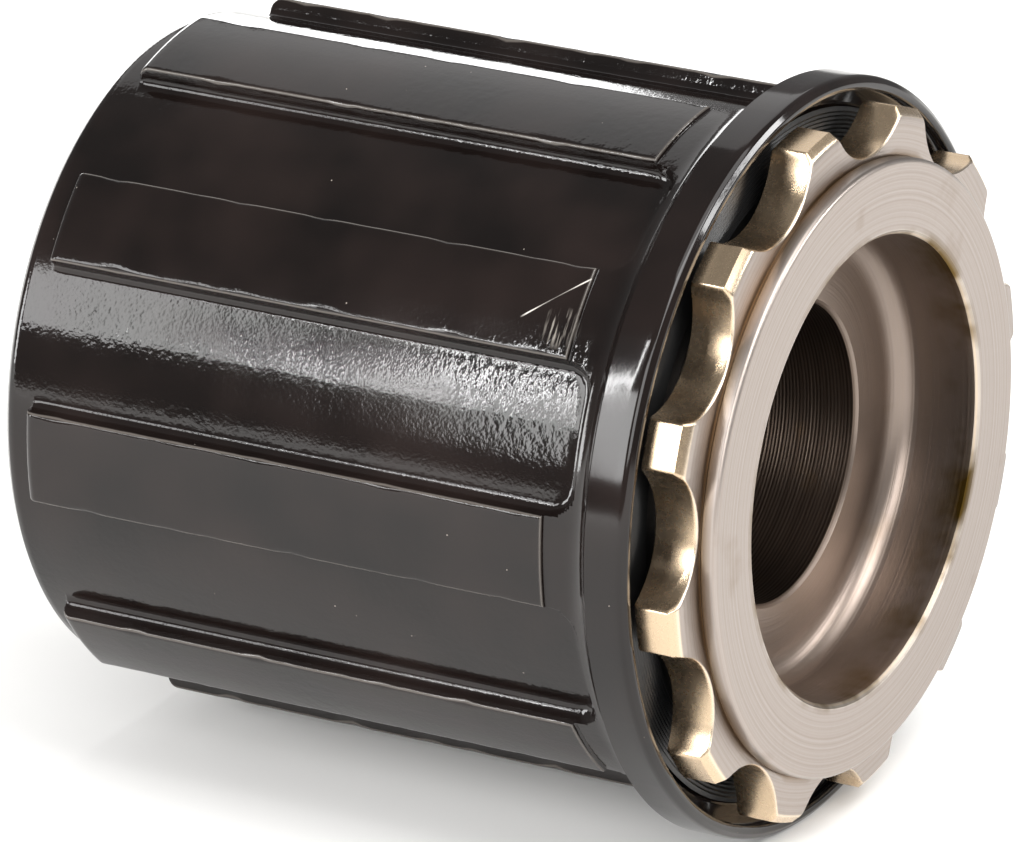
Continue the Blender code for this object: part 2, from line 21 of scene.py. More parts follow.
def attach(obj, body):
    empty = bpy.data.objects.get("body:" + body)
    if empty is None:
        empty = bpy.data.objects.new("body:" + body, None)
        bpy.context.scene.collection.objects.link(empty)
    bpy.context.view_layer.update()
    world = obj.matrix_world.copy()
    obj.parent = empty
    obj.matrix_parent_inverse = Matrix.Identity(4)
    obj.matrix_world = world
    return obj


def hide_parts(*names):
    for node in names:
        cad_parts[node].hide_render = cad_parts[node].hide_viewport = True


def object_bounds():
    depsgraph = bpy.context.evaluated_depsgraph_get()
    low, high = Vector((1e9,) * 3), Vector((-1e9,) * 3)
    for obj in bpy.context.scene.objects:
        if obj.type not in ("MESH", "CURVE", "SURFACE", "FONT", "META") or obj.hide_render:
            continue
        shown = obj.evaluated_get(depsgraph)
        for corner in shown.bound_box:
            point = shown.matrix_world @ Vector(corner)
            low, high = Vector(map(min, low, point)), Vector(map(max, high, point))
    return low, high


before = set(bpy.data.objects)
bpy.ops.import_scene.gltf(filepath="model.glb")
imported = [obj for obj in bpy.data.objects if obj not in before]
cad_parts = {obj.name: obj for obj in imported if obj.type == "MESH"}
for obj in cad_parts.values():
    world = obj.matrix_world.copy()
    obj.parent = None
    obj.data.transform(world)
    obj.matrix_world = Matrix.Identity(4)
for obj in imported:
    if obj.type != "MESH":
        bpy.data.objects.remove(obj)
CAD_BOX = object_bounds()

LOG = logging.getLogger("freehub_body")
MM = 0.001
FULL_TURN = 2.0 * math.pi
HUB_FACE_X = float(CAD_BOX[1][0])
WELD_GAP = 0.0004 * MM
NARROWEST_COLUMN = 0.0002

# Places of a Mix node's colour sockets
MIX_SHARE, MIX_LOWER, MIX_UPPER, MIX_RESULT = 0, 6, 7, 2

# Lowest and highest value of a pattern, then what these become where that is not 0 and 1
Range = tuple[float, ...]
Place = tuple[float, float, float]
AddNode = Callable[..., NodeSocket]


class Zone(Enum):
    """What a stretch of a turned section becomes once the blank is cut."""

    PLAIN = "plain"
    SPLINE = "spline"
    THREAD = "thread"
    RATCHET = "ratchet"
    TOOTH_FACE = "tooth face"
    TOOTH_WALL = "tooth wall"
    TOOTH_BACK = "tooth back"


class Tone(Enum):
    """Which surface of the plated core a vertex is on, as its place on the plate's colour ramp."""

    FACE = 0.0
    MILLED = 0.3
    SEAT = 0.6
    BORE = 1.0


@dataclass(frozen=True)
class Row:
    """One point of a turned section.

    Attributes:
        station: Distance from the hub seat face, in millimetres.
        radius: Distance from the axis on the turned blank, in millimetres.
        zone: How the row is cut after turning.
        share: Place across a tooth face, from its root at 0 to its edge at 1.
    """

    station: float
    radius: float
    zone: Zone = Zone.PLAIN
    share: float = 0.0


def row_point(row: Row) -> Vector:
    """Place of a section row in metres, in the XZ plane."""
    return Vector((HUB_FACE_X - row.station * MM, 0.0, row.radius * MM))


def arc_rows(centre: tuple[float, float], radius: float, start: float, end: float, steps: int) -> list[Row]:
    """Section rows on an arc, both ends included.

    Args:
        centre: Station and radius of the arc's centre, in millimetres.
        radius: Radius of the arc, in millimetres.
        start: First direction in degrees, where 0 points away from the hub face and 90 outwards.
        end: Last direction in degrees.
        steps: Number of straight pieces.

    Returns:
        The rows in order.
    """
    turns = np.radians(np.linspace(start, end, steps + 1))
    return [Row(centre[0] + radius * math.cos(t), centre[1] + radius * math.sin(t)) for t in turns]


def smooth_step(value: np.ndarray) -> np.ndarray:
    """Soft ramp from 0 to 1 as a value goes from 0 to 1."""
    t = np.clip(value, 0.0, 1.0)
    return t * t * (3.0 - 2.0 * t)


def smooth_least(first: np.ndarray, second: np.ndarray, blend: float) -> np.ndarray:
    """Lesser of two lengths with a rounded corner where they meet.

    Args:
        first: One length for each point, in millimetres.
        second: The other length, in millimetres.
        blend: How wide the rounded corner is, in millimetres.

    Returns:
        The blended lesser length.
    """
    share = np.clip(0.5 + 0.5 * (second - first) / blend, 0.0, 1.0)
    return second * (1.0 - share) + first * share - blend * share * (1.0 - share)


def wall_share(inside: np.ndarray, height: float, foot: float, crown: float | np.ndarray) -> np.ndarray:
    """Share of its full height that a wall has at a distance inside its edge.

    Args:
        inside: Distance inside the edge, negative outside, in millimetres.
        height: Full height of the wall, in millimetres.
        foot: Radius of the hollow round at the wall's foot, in millimetres.
        crown: Radius of the round on the wall's upper edge, in millimetres.

    Returns:
        Share of the height, from 0 to 1.
    """
    rise = np.clip(inside + foot, 0.0, foot)
    hollow = foot - np.sqrt(np.maximum(foot**2 - rise**2, 0.0))
    over = np.clip(crown - inside, 0.0, crown)
    rounded = height - crown + np.sqrt(np.maximum(crown**2 - over**2, 0.0))
    return np.clip(np.where(inside < 0.0, hollow, rounded) / height, 0.0, 1.0)


def edge_angles(edges: Sequence[float], offsets: Sequence[float], radius: float) -> list[float]:
    """Angles in radians of mesh columns at offsets in millimetres from each edge, on a radius."""
    return [edge + offset / radius for edge in edges for offset in offsets]


def fill_angles(angles: Sequence[float], widest_degrees: float) -> np.ndarray:
    """Full turn of column angles with no gap wider than asked.

    Args:
        angles: Angles that have to be there, in radians. One too close to the one before is dropped.
        widest_degrees: Widest gap to leave.

    Returns:
        Sorted angles from the first one round to just short of a full turn later.
    """
    wanted = np.sort(np.mod(np.array(angles), FULL_TURN))
    kept = [wanted[0]]
    for angle in wanted[1:]:
        if angle - kept[-1] > NARROWEST_COLUMN:
            kept.append(angle)
    filled: list[float] = []
    for angle, after in zip(kept, kept[1:] + [kept[0] + FULL_TURN]):
        pieces = max(1, math.ceil((after - angle) / math.radians(widest_degrees)))
        filled.extend(angle + (after - angle) * i / pieces for i in range(pieces))
    return np.array(filled)


def select_only(*pieces: Object) -> None:
    """Leaves just these pieces selected, the last one active, so that operators act on them alone.

    Args:
        *pieces: Objects to select, or none.
    """
    bpy.ops.object.select_all(action="DESELECT")
    for piece in pieces:
        piece.select_set(True)
        bpy.context.view_layer.objects.active = piece


def draw_chain(name: str, points: Sequence[Vector]) -> Object:
    """Closed chain of edges through the points, extruded from one vertex and left in edit mode.

    Args:
        name: Name of the new object.
        points: Places along the chain, in metres.

    Returns:
        The new object, with its origin at the world origin.
    """
    select_only()
    bpy.ops.mesh.primitive_plane_add(size=MM, location=points[0])
    piece = bpy.context.object
    piece.name = name
    piece.data.name = name
    bpy.ops.object.transform_apply(location=True, rotation=True, scale=True)
    bpy.ops.object.mode_set(mode="EDIT")
    bpy.ops.mesh.select_all(action="SELECT")
    bpy.ops.mesh.merge(type="CENTER")
    for before, after in zip(points, points[1:]):
        bpy.ops.mesh.extrude_vertices_move(TRANSFORM_OT_translate={"value": after - before})
    chain = bmesh.from_edit_mesh(piece.data)
    chain.verts.ensure_lookup_table()
    bpy.ops.mesh.select_all(action="DESELECT")
    chain.verts[0].select = True
    chain.verts[-1].select = True
    chain.select_flush_mode()
    bmesh.update_edit_mesh(piece.data)
    bpy.ops.mesh.edge_face_add()
    bpy.ops.mesh.select_all(action="SELECT")
    return piece


def leave_edit_mode() -> None:
    """Turns every face of the edited mesh outwards and goes back to object mode."""
    bpy.ops.mesh.select_all(action="SELECT")
    bpy.ops.mesh.normals_make_consistent(inside=False)
    bpy.ops.object.mode_set(mode="OBJECT")


def turn_rows(name: str, rows: Sequence[Row], columns: int) -> Object:
    """Turns a closed section about the hub axis.

    Args:
        name: Name of the new object.
        rows: Section rows in order round the section.
        columns: Number of columns in a full turn.

    Returns:
        The turned blank, in object mode.
    """
    blank = draw_chain(name, [row_point(row) for row in rows])
    bpy.ops.mesh.spin(steps=columns, angle=FULL_TURN, center=(0.0, 0.0, 0.0), axis=(1.0, 0.0, 0.0))
    bpy.ops.mesh.select_all(action="SELECT")
    bpy.ops.mesh.remove_doubles(threshold=WELD_GAP)
    leave_edit_mode()
    return blank


def cut_prism(piece: Object, points: Sequence[Vector], reach: float) -> None:
    """Cuts the room of a prism out of a closed piece.

    Args:
        piece: Piece to cut.
        points: Outline of the prism in metres, in one plane across the axis.
        reach: How far the outline is drawn along X, in metres.
    """
    cutter = draw_chain("cutter", points)
    bpy.ops.mesh.edge_face_add()
    bpy.ops.mesh.extrude_region_move(TRANSFORM_OT_translate={"value": (reach, 0.0, 0.0)})
    leave_edit_mode()
    select_only(piece)
    room = piece.modifiers.new("room", "BOOLEAN")
    room.operation = "DIFFERENCE"
    room.solver = "EXACT"
    room.object = cutter
    bpy.ops.object.modifier_apply(modifier=room.name)
    bpy.data.objects.remove(cutter)


def dress(piece: Object, finish: Material, crisp_degrees: float) -> None:
    """Shades a piece smooth with crisp edges, and gives it its finish.

    Args:
        piece: The piece in object mode.
        finish: Material for the whole piece.
        crisp_degrees: Edges that turn by more than this stay crisp.
    """
    select_only(piece)
    bpy.ops.object.shade_smooth_by_angle(angle=math.radians(crisp_degrees))
    piece.data.materials.append(finish)


@dataclass
class Blank:
    """A turned mesh as arrays, one value for each vertex.

    Attributes:
        piece: The turned object.
        rows: Section rows that it was turned from.
        row: Index of each vertex's section row.
        station: Distance of each vertex from the hub face, in millimetres.
        radius: Distance of each vertex from the axis, in millimetres.
        angle: Angle of each vertex, in radians.
    """

    piece: Object
    rows: list[Row]
    row: np.ndarray
    station: np.ndarray
    radius: np.ndarray
    angle: np.ndarray

    @classmethod
    def turn(cls, name: str, rows: list[Row], angles: np.ndarray) -> "Blank":
        """Turns a section and moves its columns to the given angles.

        Args:
            name: Name of the new object.
            rows: Section rows in order round the section.
            angles: Sorted angle of each column, in radians.

        Returns:
            The blank with its arrays filled in.
        """
        piece = turn_rows(name, rows, len(angles))
        place = np.empty(len(piece.data.vertices) * 3)
        piece.data.vertices.foreach_get("co", place)
        x, y, z = place.reshape(-1, 3).T
        station = (HUB_FACE_X - x) / MM
        radius = np.hypot(y, z) / MM
        # The section was drawn on the Z axis, a quarter turn from angle 0
        turned = np.mod(np.arctan2(z, y) - math.pi / 2.0, FULL_TURN)
        column = np.rint(turned * len(angles) / FULL_TURN).astype(int) % len(angles)
        section = np.array([(row.station, row.radius) for row in rows])
        far = (station[:, None] - section[:, 0]) ** 2 + (radius[:, None] - section[:, 1]) ** 2
        return cls(piece, rows, np.argmin(far, axis=1), station, radius, angles[column])

    def zone_mask(self, zone: Zone) -> np.ndarray:
        """Which vertices belong to a zone."""
        return np.array([row.zone is zone for row in self.rows])[self.row]

    def shares(self) -> np.ndarray:
        """Place of each vertex across a tooth face."""
        return np.array([row.share for row in self.rows])[self.row]

    def mark(self, name: str, values: np.ndarray) -> None:
        """Stores one number for each vertex, for a finish to read."""
        attribute = self.piece.data.attributes.new(name, "FLOAT", "POINT")
        attribute.data.foreach_set("value", values.astype(np.float32))

    def write(self) -> None:
        """Puts the arrays back into the mesh, in metres, with its faces outwards."""
        x = HUB_FACE_X - self.station * MM
        y = self.radius * np.cos(self.angle) * MM
        z = self.radius * np.sin(self.angle) * MM
        self.piece.data.vertices.foreach_set("co", np.column_stack((x, y, z)).ravel())
        self.piece.data.update()
        select_only(self.piece)
        bpy.ops.object.mode_set(mode="EDIT")
        leave_edit_mode()


def hex_colour(code: str) -> tuple[float, float, float, float]:
    """Linear colour with full alpha from an sRGB hex code.

    Args:
        code: The code, such as #a49b95.

    Returns:
        Red, green, blue and alpha, by the numbers of the sRGB standard.
    """
    parts = [int(code[i:i + 2], 16) / 255.0 for i in (1, 3, 5)]
    linear = [p / 12.92 if p <= 0.04045 else ((p + 0.055) / 1.055) ** 2.4 for p in parts]
    return (*linear, 1.0)


def per_mm(size: float) -> float:
    """Texture scale that gives features of a size in millimetres on coordinates in metres."""
    return 1.0 / (size * MM)


def set_inputs(node: Node, inputs: dict[Any, Any]) -> None:
    """Gives a node's inputs their values, and links those whose value is a socket.

    Args:
        node: The node.
        inputs: Value or socket for each input, by name or place.
    """
    for name, value in inputs.items():
        if isinstance(value, NodeSocket):
            node.id_data.links.new(value, node.inputs[name])
        else:
            node.inputs[name].default_value = value


def add_node(
    tree: NodeTree,
    kind: str,
    inputs: Sequence[Any] | dict[Any, Any] = (),
    output: int | str = 0,
    stops: Sequence[tuple[float, str]] = (),
    **settings: Any,
) -> NodeSocket:
    """Adds a shader node with its settings and links.

    Args:
        tree: Node tree of the material.
        kind: Blender's name for the kind of node, without ShaderNode in front.
        inputs: Value or socket for each input, in their order or by name.
        output: Output to return, by name or place.
        stops: Position and sRGB hex code of each stop on a colour ramp.
        **settings: Properties of the node itself.

    Returns:
        The chosen output.
    """
    node = tree.nodes.new("ShaderNode" + kind)
    for name, value in settings.items():
        setattr(node, name, value)
    set_inputs(node, inputs if isinstance(inputs, dict) else dict(enumerate(inputs)))
    for index, (position, code) in enumerate(stops):
        elements = node.color_ramp.elements
        element = elements[index] if index < len(elements) else elements.new(1.0)
        element.position = position
        element.color = hex_colour(code)
    return node.outputs[output]


def start_material(name: str) -> tuple[Material, AddNode, Node]:
    """New material to fill with nodes.

    Args:
        name: Name of the material.

    Returns:
        The material, add_node for its node tree, and its Principled shader.
    """
    material = bpy.data.materials.new(name)
    material.use_nodes = True
    tree = material.node_tree
    return material, partial(add_node, tree), tree.nodes["Principled BSDF"]


@dataclass(frozen=True)
class Scuff:
    """One long scratch and a hatched rub beside it, at the hub end of a ridge. Places are in millimetres."""

    start: Place = (8.25, -13.82, 10.41)
    end: Place = (11.3, -12.13, 12.34)
    width: float = 0.05
    full_share: float = 0.8
    rub_centre: Place = (10.4, -13.91, 10.29)
    rub_reach: float = 1.1
    rub_full: float = 0.44
    rub_mm: float = 0.14
    rub_stretch: float = 0.1
    rub_range: Range = (0.5, 0.68, 0.0, 0.8)

    def scratch(self, add: AddNode, place: NodeSocket) -> NodeSocket:
        """Share of bare scratch at each place.

        Args:
            add: Adds a node to the material.
            place: Socket with object coordinates.

        Returns:
            Socket that is 1 on the scratch and 0 away from it.
        """
        start, end = Vector(self.start) * MM, Vector(self.end) * MM
        half = (end - start).length / 2.0
        arm = add("VectorMath", [place, (start + end) / 2.0], operation="SUBTRACT")
        across = add("VectorMath", [arm, (end - start).normalized()], operation="CROSS_PRODUCT")
        apart = add("VectorMath", [across], "Value", operation="LENGTH")
        line = add("MapRange", [apart, self.width * MM, self.width * MM / 2.0])
        reach = add("VectorMath", [arm], "Value", operation="LENGTH")
        inside = add("MapRange", [reach, half, half * self.full_share])
        return add("Math", [line, inside], operation="MULTIPLY")

    def rub(self, add: AddNode, place: NodeSocket) -> NodeSocket:
        """Share of rubbed strokes round the barrel at each place.

        Args:
            add: Adds a node to the material.
            place: Socket with object coordinates.

        Returns:
            Socket that is up to 1 on the rubbed lines and 0 away from them.
        """
        arm = add("VectorMath", [place, Vector(self.rub_centre) * MM], operation="SUBTRACT")
        reach = add("VectorMath", [arm], "Value", operation="LENGTH")
        inside = add("MapRange", [reach, self.rub_reach * MM, self.rub_full * MM])
        stretch = (1.0, self.rub_stretch, self.rub_stretch)
        drawn = add("Mapping", {"Vector": place, "Scale": stretch})
        strokes = add("TexNoise", {"Vector": drawn, "Scale": per_mm(self.rub_mm), "Detail": 2.0})
        lines = add("MapRange", [strokes, *self.rub_range])
        return add("Math", [lines, inside], operation="MULTIPLY")


@dataclass(frozen=True)
class BlackEnamel:
    """Thick stoved black enamel on steel.

    It gives a deep brown-black with a wet gloss. An orange peel breaks up reflections in patches, but the
    collar has flowed out smooth. Dust caught in the film makes pale specks. A pale grey line along the ridge
    edges is partly thin enamel and partly a painted edge highlight.
    """

    deep: str = "#0c0807"
    thin: str = "#1b1412"
    # Pale grey of rubbed enamel, also used for the painted highlight along the ridge edges
    worn_and_sheen: str = "#8a837c"
    bare: str = "#c9c3bb"
    dust: str = "#8f877e"
    ior: float = 1.41
    body_stops: tuple[float, float] = (0.35, 0.7)
    rough_range: Range = (0.3, 0.7, 0.05, 0.11)
    # Share of the pale ridge-edge line, partly thin enamel and partly a painted highlight
    edge_sheen_and_wear: float = 0.4
    run_mm: float = 6.0
    run_strength: float = 0.2
    run_depth_mm: float = 0.2
    peel_mm: float = 0.45
    peel_range: Range = (0.38, 0.55, 0.45, 0.12)
    peel_depth_mm: float = 0.025
    grain_mm: float = 0.16
    grain_strength: float = 0.3
    grain_depth_mm: float = 0.015
    smooth_from_mm: float = 12.0
    smooth_to_mm: float = 13.2
    smooth_share: float = 0.12
    dust_cell_mm: float = 1.4
    dust_range: Range = (0.03, 0.018)
    scuff: Scuff = Scuff()

    def make(self) -> Material:
        """Builds the material.

        Returns:
            The material.
        """
        material, add, shader = start_material("black_enamel_on_steel")
        place = add("TexCoord", output="Object")
        runs = add("TexNoise", {"Vector": place, "Scale": per_mm(self.run_mm), "Detail": 2.0})
        peel_scale = per_mm(self.peel_mm)
        peel = add("TexNoise", {"Vector": place, "Scale": peel_scale, "Detail": 1.0, "Roughness": 0.45})
        grain = add("TexNoise", {"Vector": place, "Scale": per_mm(self.grain_mm), "Detail": 1.0})
        cells = add("TexVoronoi", {"Vector": place, "Scale": per_mm(self.dust_cell_mm)})
        edge = add("Attribute", output="Fac", attribute_name="edge")
        layers = (
            # Pale ridge-edge line: partly thin enamel, partly a painted edge highlight
            (add("Math", [edge, self.edge_sheen_and_wear], operation="MULTIPLY"), self.worn_and_sheen),
            (self.scuff.scratch(add, place), self.bare),
            (self.scuff.rub(add, place), self.worn_and_sheen),
            (add("MapRange", [cells, *self.dust_range]), self.dust),
        )
        colour = add("ValToRGB", [runs], stops=list(zip(self.body_stops, (self.deep, self.thin))))
        for share, code in layers:
            mixed = {MIX_SHARE: share, MIX_LOWER: colour, MIX_UPPER: hex_colour(code)}
            colour = add("Mix", mixed, MIX_RESULT, data_type="RGBA")
        along = add("SeparateXYZ", [place], "X")
        smooth_ends = (self.smooth_from_mm * MM, self.smooth_to_mm * MM)
        uneven = add("MapRange", [along, *smooth_ends, 1.0, self.smooth_share])
        patchy = add("MapRange", [runs, *self.peel_range])
        bumps = (
            (grain, add("Math", [uneven, self.grain_strength], operation="MULTIPLY"), self.grain_depth_mm),
            (peel, add("Math", [uneven, patchy], operation="MULTIPLY"), self.peel_depth_mm),
            (runs, self.run_strength, self.run_depth_mm),
        )
        below: dict[str, NodeSocket] = {}
        for height, strength, depth in bumps:
            relief = {"Height": height, "Strength": strength, "Distance": depth * MM}
            below = {"Normal": add("Bump", relief | below)}
        rough = add("MapRange", [runs, *self.rough_range])
        set_inputs(shader, {"Base Color": colour, "Roughness": rough, "IOR": self.ior, **below})
        return material


@dataclass(frozen=True)
class NickelPlate:
    """Nickel plated turned steel.

    It gives a warm champagne metal: satin on the turned faces, where the tool left fine rings, brighter
    and more bronze on the milled walls of the teeth, darker in the counterbore as painted shade, and dark
    in the bore, which keeps the boring tool's feed lines. Old oil has dried brown in places round the
    mouth of the counterbore. A pale line along the tooth edges and the counterbore's mouth is a painted
    highlight over the burr and the worn chamfer, and a brown line in the crease at the boss's foot is
    painted shade.
    """

    face: str = "#a49b95"
    milled: str = "#cbb497"
    # Counterbore tone, darker as painted shade in the recess
    seat_in_shade: str = "#867a72"
    bore: str = "#55483f"
    # Pale cream of the painted highlight along the tooth edges and the counterbore's mouth
    edge_glint: str = "#efe3d2"
    # Brown of random stains, also used for painted shade in the crease at the boss's foot
    stain_and_shade: str = "#6d5638"
    groove: str = "#877a6f"
    feed: str = "#2a1f18"
    oil: str = "#5f4a20"
    oil_radii_mm: tuple[float, float] = (11.9, 11.4)
    oil_from_mm: float = 16.6
    oil_to_mm: float = 18.8
    oil_range: Range = (0.44, 0.62)
    stain_range: Range = (0.64, 0.78, 0.0, 0.3)
    rough_range: Range = (0.3, 0.7, 0.34, 0.38)
    shine_range: Range = (0.0, 1.0, 1.0, 0.75)
    ring_mm: float = 0.15
    ring_range: Range = (0.35, 0.65)
    ring_depth_range: Range = (0.0, 1.0, 0.5, 0.04)
    feed_mm: float = 0.19
    feed_range: Range = (0.8, 1.0, 0.0, 0.75)
    feed_strength: float = 0.6
    patch_mm: float = 3.5
    pit_mm: float = 0.35
    pit_strength: float = 0.04
    relief_mm: float = 0.03

    def make(self) -> Material:
        """Builds the material.

        Returns:
            The material.
        """
        material, add, shader = start_material("nickel_plated_turned_steel")
        place = add("TexCoord", output="Object")
        along = add("SeparateXYZ", [place], "X")
        across = add("VectorMath", [place, (0.0, 1.0, 1.0)], operation="MULTIPLY")
        reach = add("VectorMath", [across], "Value", operation="LENGTH")
        section = add("CombineXYZ", [along, reach])
        ring_scale = per_mm(self.ring_mm)
        rings = add("TexNoise", {"Vector": section, "Scale": ring_scale, "Detail": 2.0, "Roughness": 0.6})
        patch_scale = per_mm(self.patch_mm)
        patches = add("TexNoise", {"Vector": place, "Scale": patch_scale, "Detail": 3.0, "Roughness": 0.55})
        pit_scale = per_mm(self.pit_mm)
        pits = add("TexNoise", {"Vector": place, "Scale": pit_scale, "Detail": 3.0, "Roughness": 0.65})
        marks = ("tone", "polish", "crease_shade", "edge")
        tone, polish, crease_shade, edge = [add("Attribute", output="Fac", attribute_name=name) for name in marks]
        ring_depth = add("MapRange", [polish, *self.ring_depth_range])
        half_feed = self.feed_mm * MM / 2.0
        wave = add("Math", [along, half_feed], operation="PINGPONG")
        feed_depth = add("MapRange", [tone, *self.feed_range])
        fed = add("MapRange", [wave, 0.0, half_feed, 0.0, feed_depth])
        inside = add("MapRange", [reach, *(radius * MM for radius in self.oil_radii_mm)])
        mouth = add("MapRange", [along, self.oil_from_mm * MM, self.oil_to_mm * MM, 0.0, inside])
        layers = (
            (add("MapRange", [rings, *self.ring_range, 0.0, ring_depth]), self.groove),
            (fed, self.feed),
            (add("MapRange", [patches, *self.stain_range]), self.stain_and_shade),
            # Painted shade in the crease at the foot of the boss
            (crease_shade, self.stain_and_shade),
            # Painted highlight along the tooth edges and on the counterbore's mouth chamfer
            (edge, self.edge_glint),
            (add("MapRange", [patches, *self.oil_range, 0.0, mouth]), self.oil),
        )
        # The seat stop is darker as painted shade in the counterbore
        codes = (self.face, self.milled, self.seat_in_shade, self.bore)
        colour = add("ValToRGB", [tone], stops=[(level.value, code) for level, code in zip(Tone, codes)])
        for share, code in layers:
            mixed = {MIX_SHARE: share, MIX_LOWER: colour, MIX_UPPER: hex_colour(code)}
            colour = add("Mix", mixed, MIX_RESULT, data_type="RGBA")
        below: dict[str, NodeSocket] = {}
        for height, strength in ((pits, self.pit_strength), (rings, ring_depth), (fed, self.feed_strength)):
            relief = {"Height": height, "Strength": strength, "Distance": self.relief_mm * MM}
            below = {"Normal": add("Bump", relief | below)}
        rough = add("MapRange", [pits, *self.rough_range])
        shine = add("MapRange", [polish, *self.shine_range])
        gloss = add("Math", [rough, shine], operation="MULTIPLY")
        set_inputs(shader, {"Base Color": colour, "Roughness": gloss, "Metallic": 1.0, **below})
        return material


@dataclass(frozen=True)
class GroundSteel:
    """Hardened and ground steel, grey, with grinding lines round the axis and a faint oil film."""

    light: str = "#9a9a9c"
    dark: str = "#858381"
    roughness: float = 0.3
    film_mm: float = 2.5
    film_stops: tuple[float, float] = (0.35, 0.65)
    line_mm: float = 0.12
    line_stretch: float = 0.05
    line_strength: float = 0.2
    line_depth_mm: float = 0.02

    def make(self) -> Material:
        """Builds the material.

        Returns:
            The material.
        """
        material, add, shader = start_material("hardened_ground_steel")
        place = add("TexCoord", output="Object")
        film = add("TexNoise", {"Vector": place, "Scale": per_mm(self.film_mm), "Detail": 3.0})
        tint = add("ValToRGB", [film], stops=list(zip(self.film_stops, (self.dark, self.light))))
        stretch = (1.0, self.line_stretch, self.line_stretch)
        drawn = add("Mapping", {"Vector": place, "Scale": stretch})
        lines = add("TexNoise", {"Vector": drawn, "Scale": per_mm(self.line_mm), "Detail": 2.0})
        depth = self.line_depth_mm * MM
        ground = add("Bump", {"Height": lines, "Strength": self.line_strength, "Distance": depth})
        set_inputs(shader, {"Base Color": tint, "Normal": ground})
        set_inputs(shader, {"Roughness": self.roughness, "Metallic": 1.0})
        return material


@dataclass(frozen=True)
class BallSteel:
    """Lapped bearing steel, a near mirror under a smear of grease."""

    bright: str = "#c9cacc"
    greased: str = "#8d8472"
    grease_mm: float = 1.2
    grease_stops: tuple[float, float] = (0.4, 0.7)
    rough_range: Range = (0.0, 1.0, 0.04, 0.22)

    def make(self) -> Material:
        """Builds the material.

        Returns:
            The material.
        """
        material, add, shader = start_material("lapped_bearing_steel")
        place = add("TexCoord", output="Object")
        smear = add("TexNoise", {"Vector": place, "Scale": per_mm(self.grease_mm), "Detail": 2.0})
        tint = add("ValToRGB", [smear], stops=list(zip(self.grease_stops, (self.bright, self.greased))))
        rough = add("MapRange", [smear, *self.rough_range])
        set_inputs(shader, {"Base Color": tint, "Roughness": rough, "Metallic": 1.0})
        return material


@dataclass(frozen=True)
class SealRubber:
    """Moulded black nitrile rubber, a dull sheen over a fine sparked-mould grain and a dusting of grit."""

    body: str = "#070707"
    grey: str = "#121110"
    roughness: float = 0.4
    dust_mm: float = 1.8
    dust_stops: tuple[float, float] = (0.45, 0.75)
    grain_mm: float = 0.18
    grain_strength: float = 0.3
    grain_depth_mm: float = 0.03

    def make(self) -> Material:
        """Builds the material.

        Returns:
            The material.
        """
        material, add, shader = start_material("moulded_nitrile_rubber")
        place = add("TexCoord", output="Object")
        dust = add("TexNoise", {"Vector": place, "Scale": per_mm(self.dust_mm), "Detail": 4.0})
        tint = add("ValToRGB", [dust], stops=list(zip(self.dust_stops, (self.body, self.grey))))
        grain = add("TexNoise", {"Vector": place, "Scale": per_mm(self.grain_mm), "Detail": 2.0})
        depth = self.grain_depth_mm * MM
        sparked = add("Bump", {"Height": grain, "Strength": self.grain_strength, "Distance": depth})
        set_inputs(shader, {"Base Color": tint, "Normal": sparked, "Roughness": self.roughness})
        return material


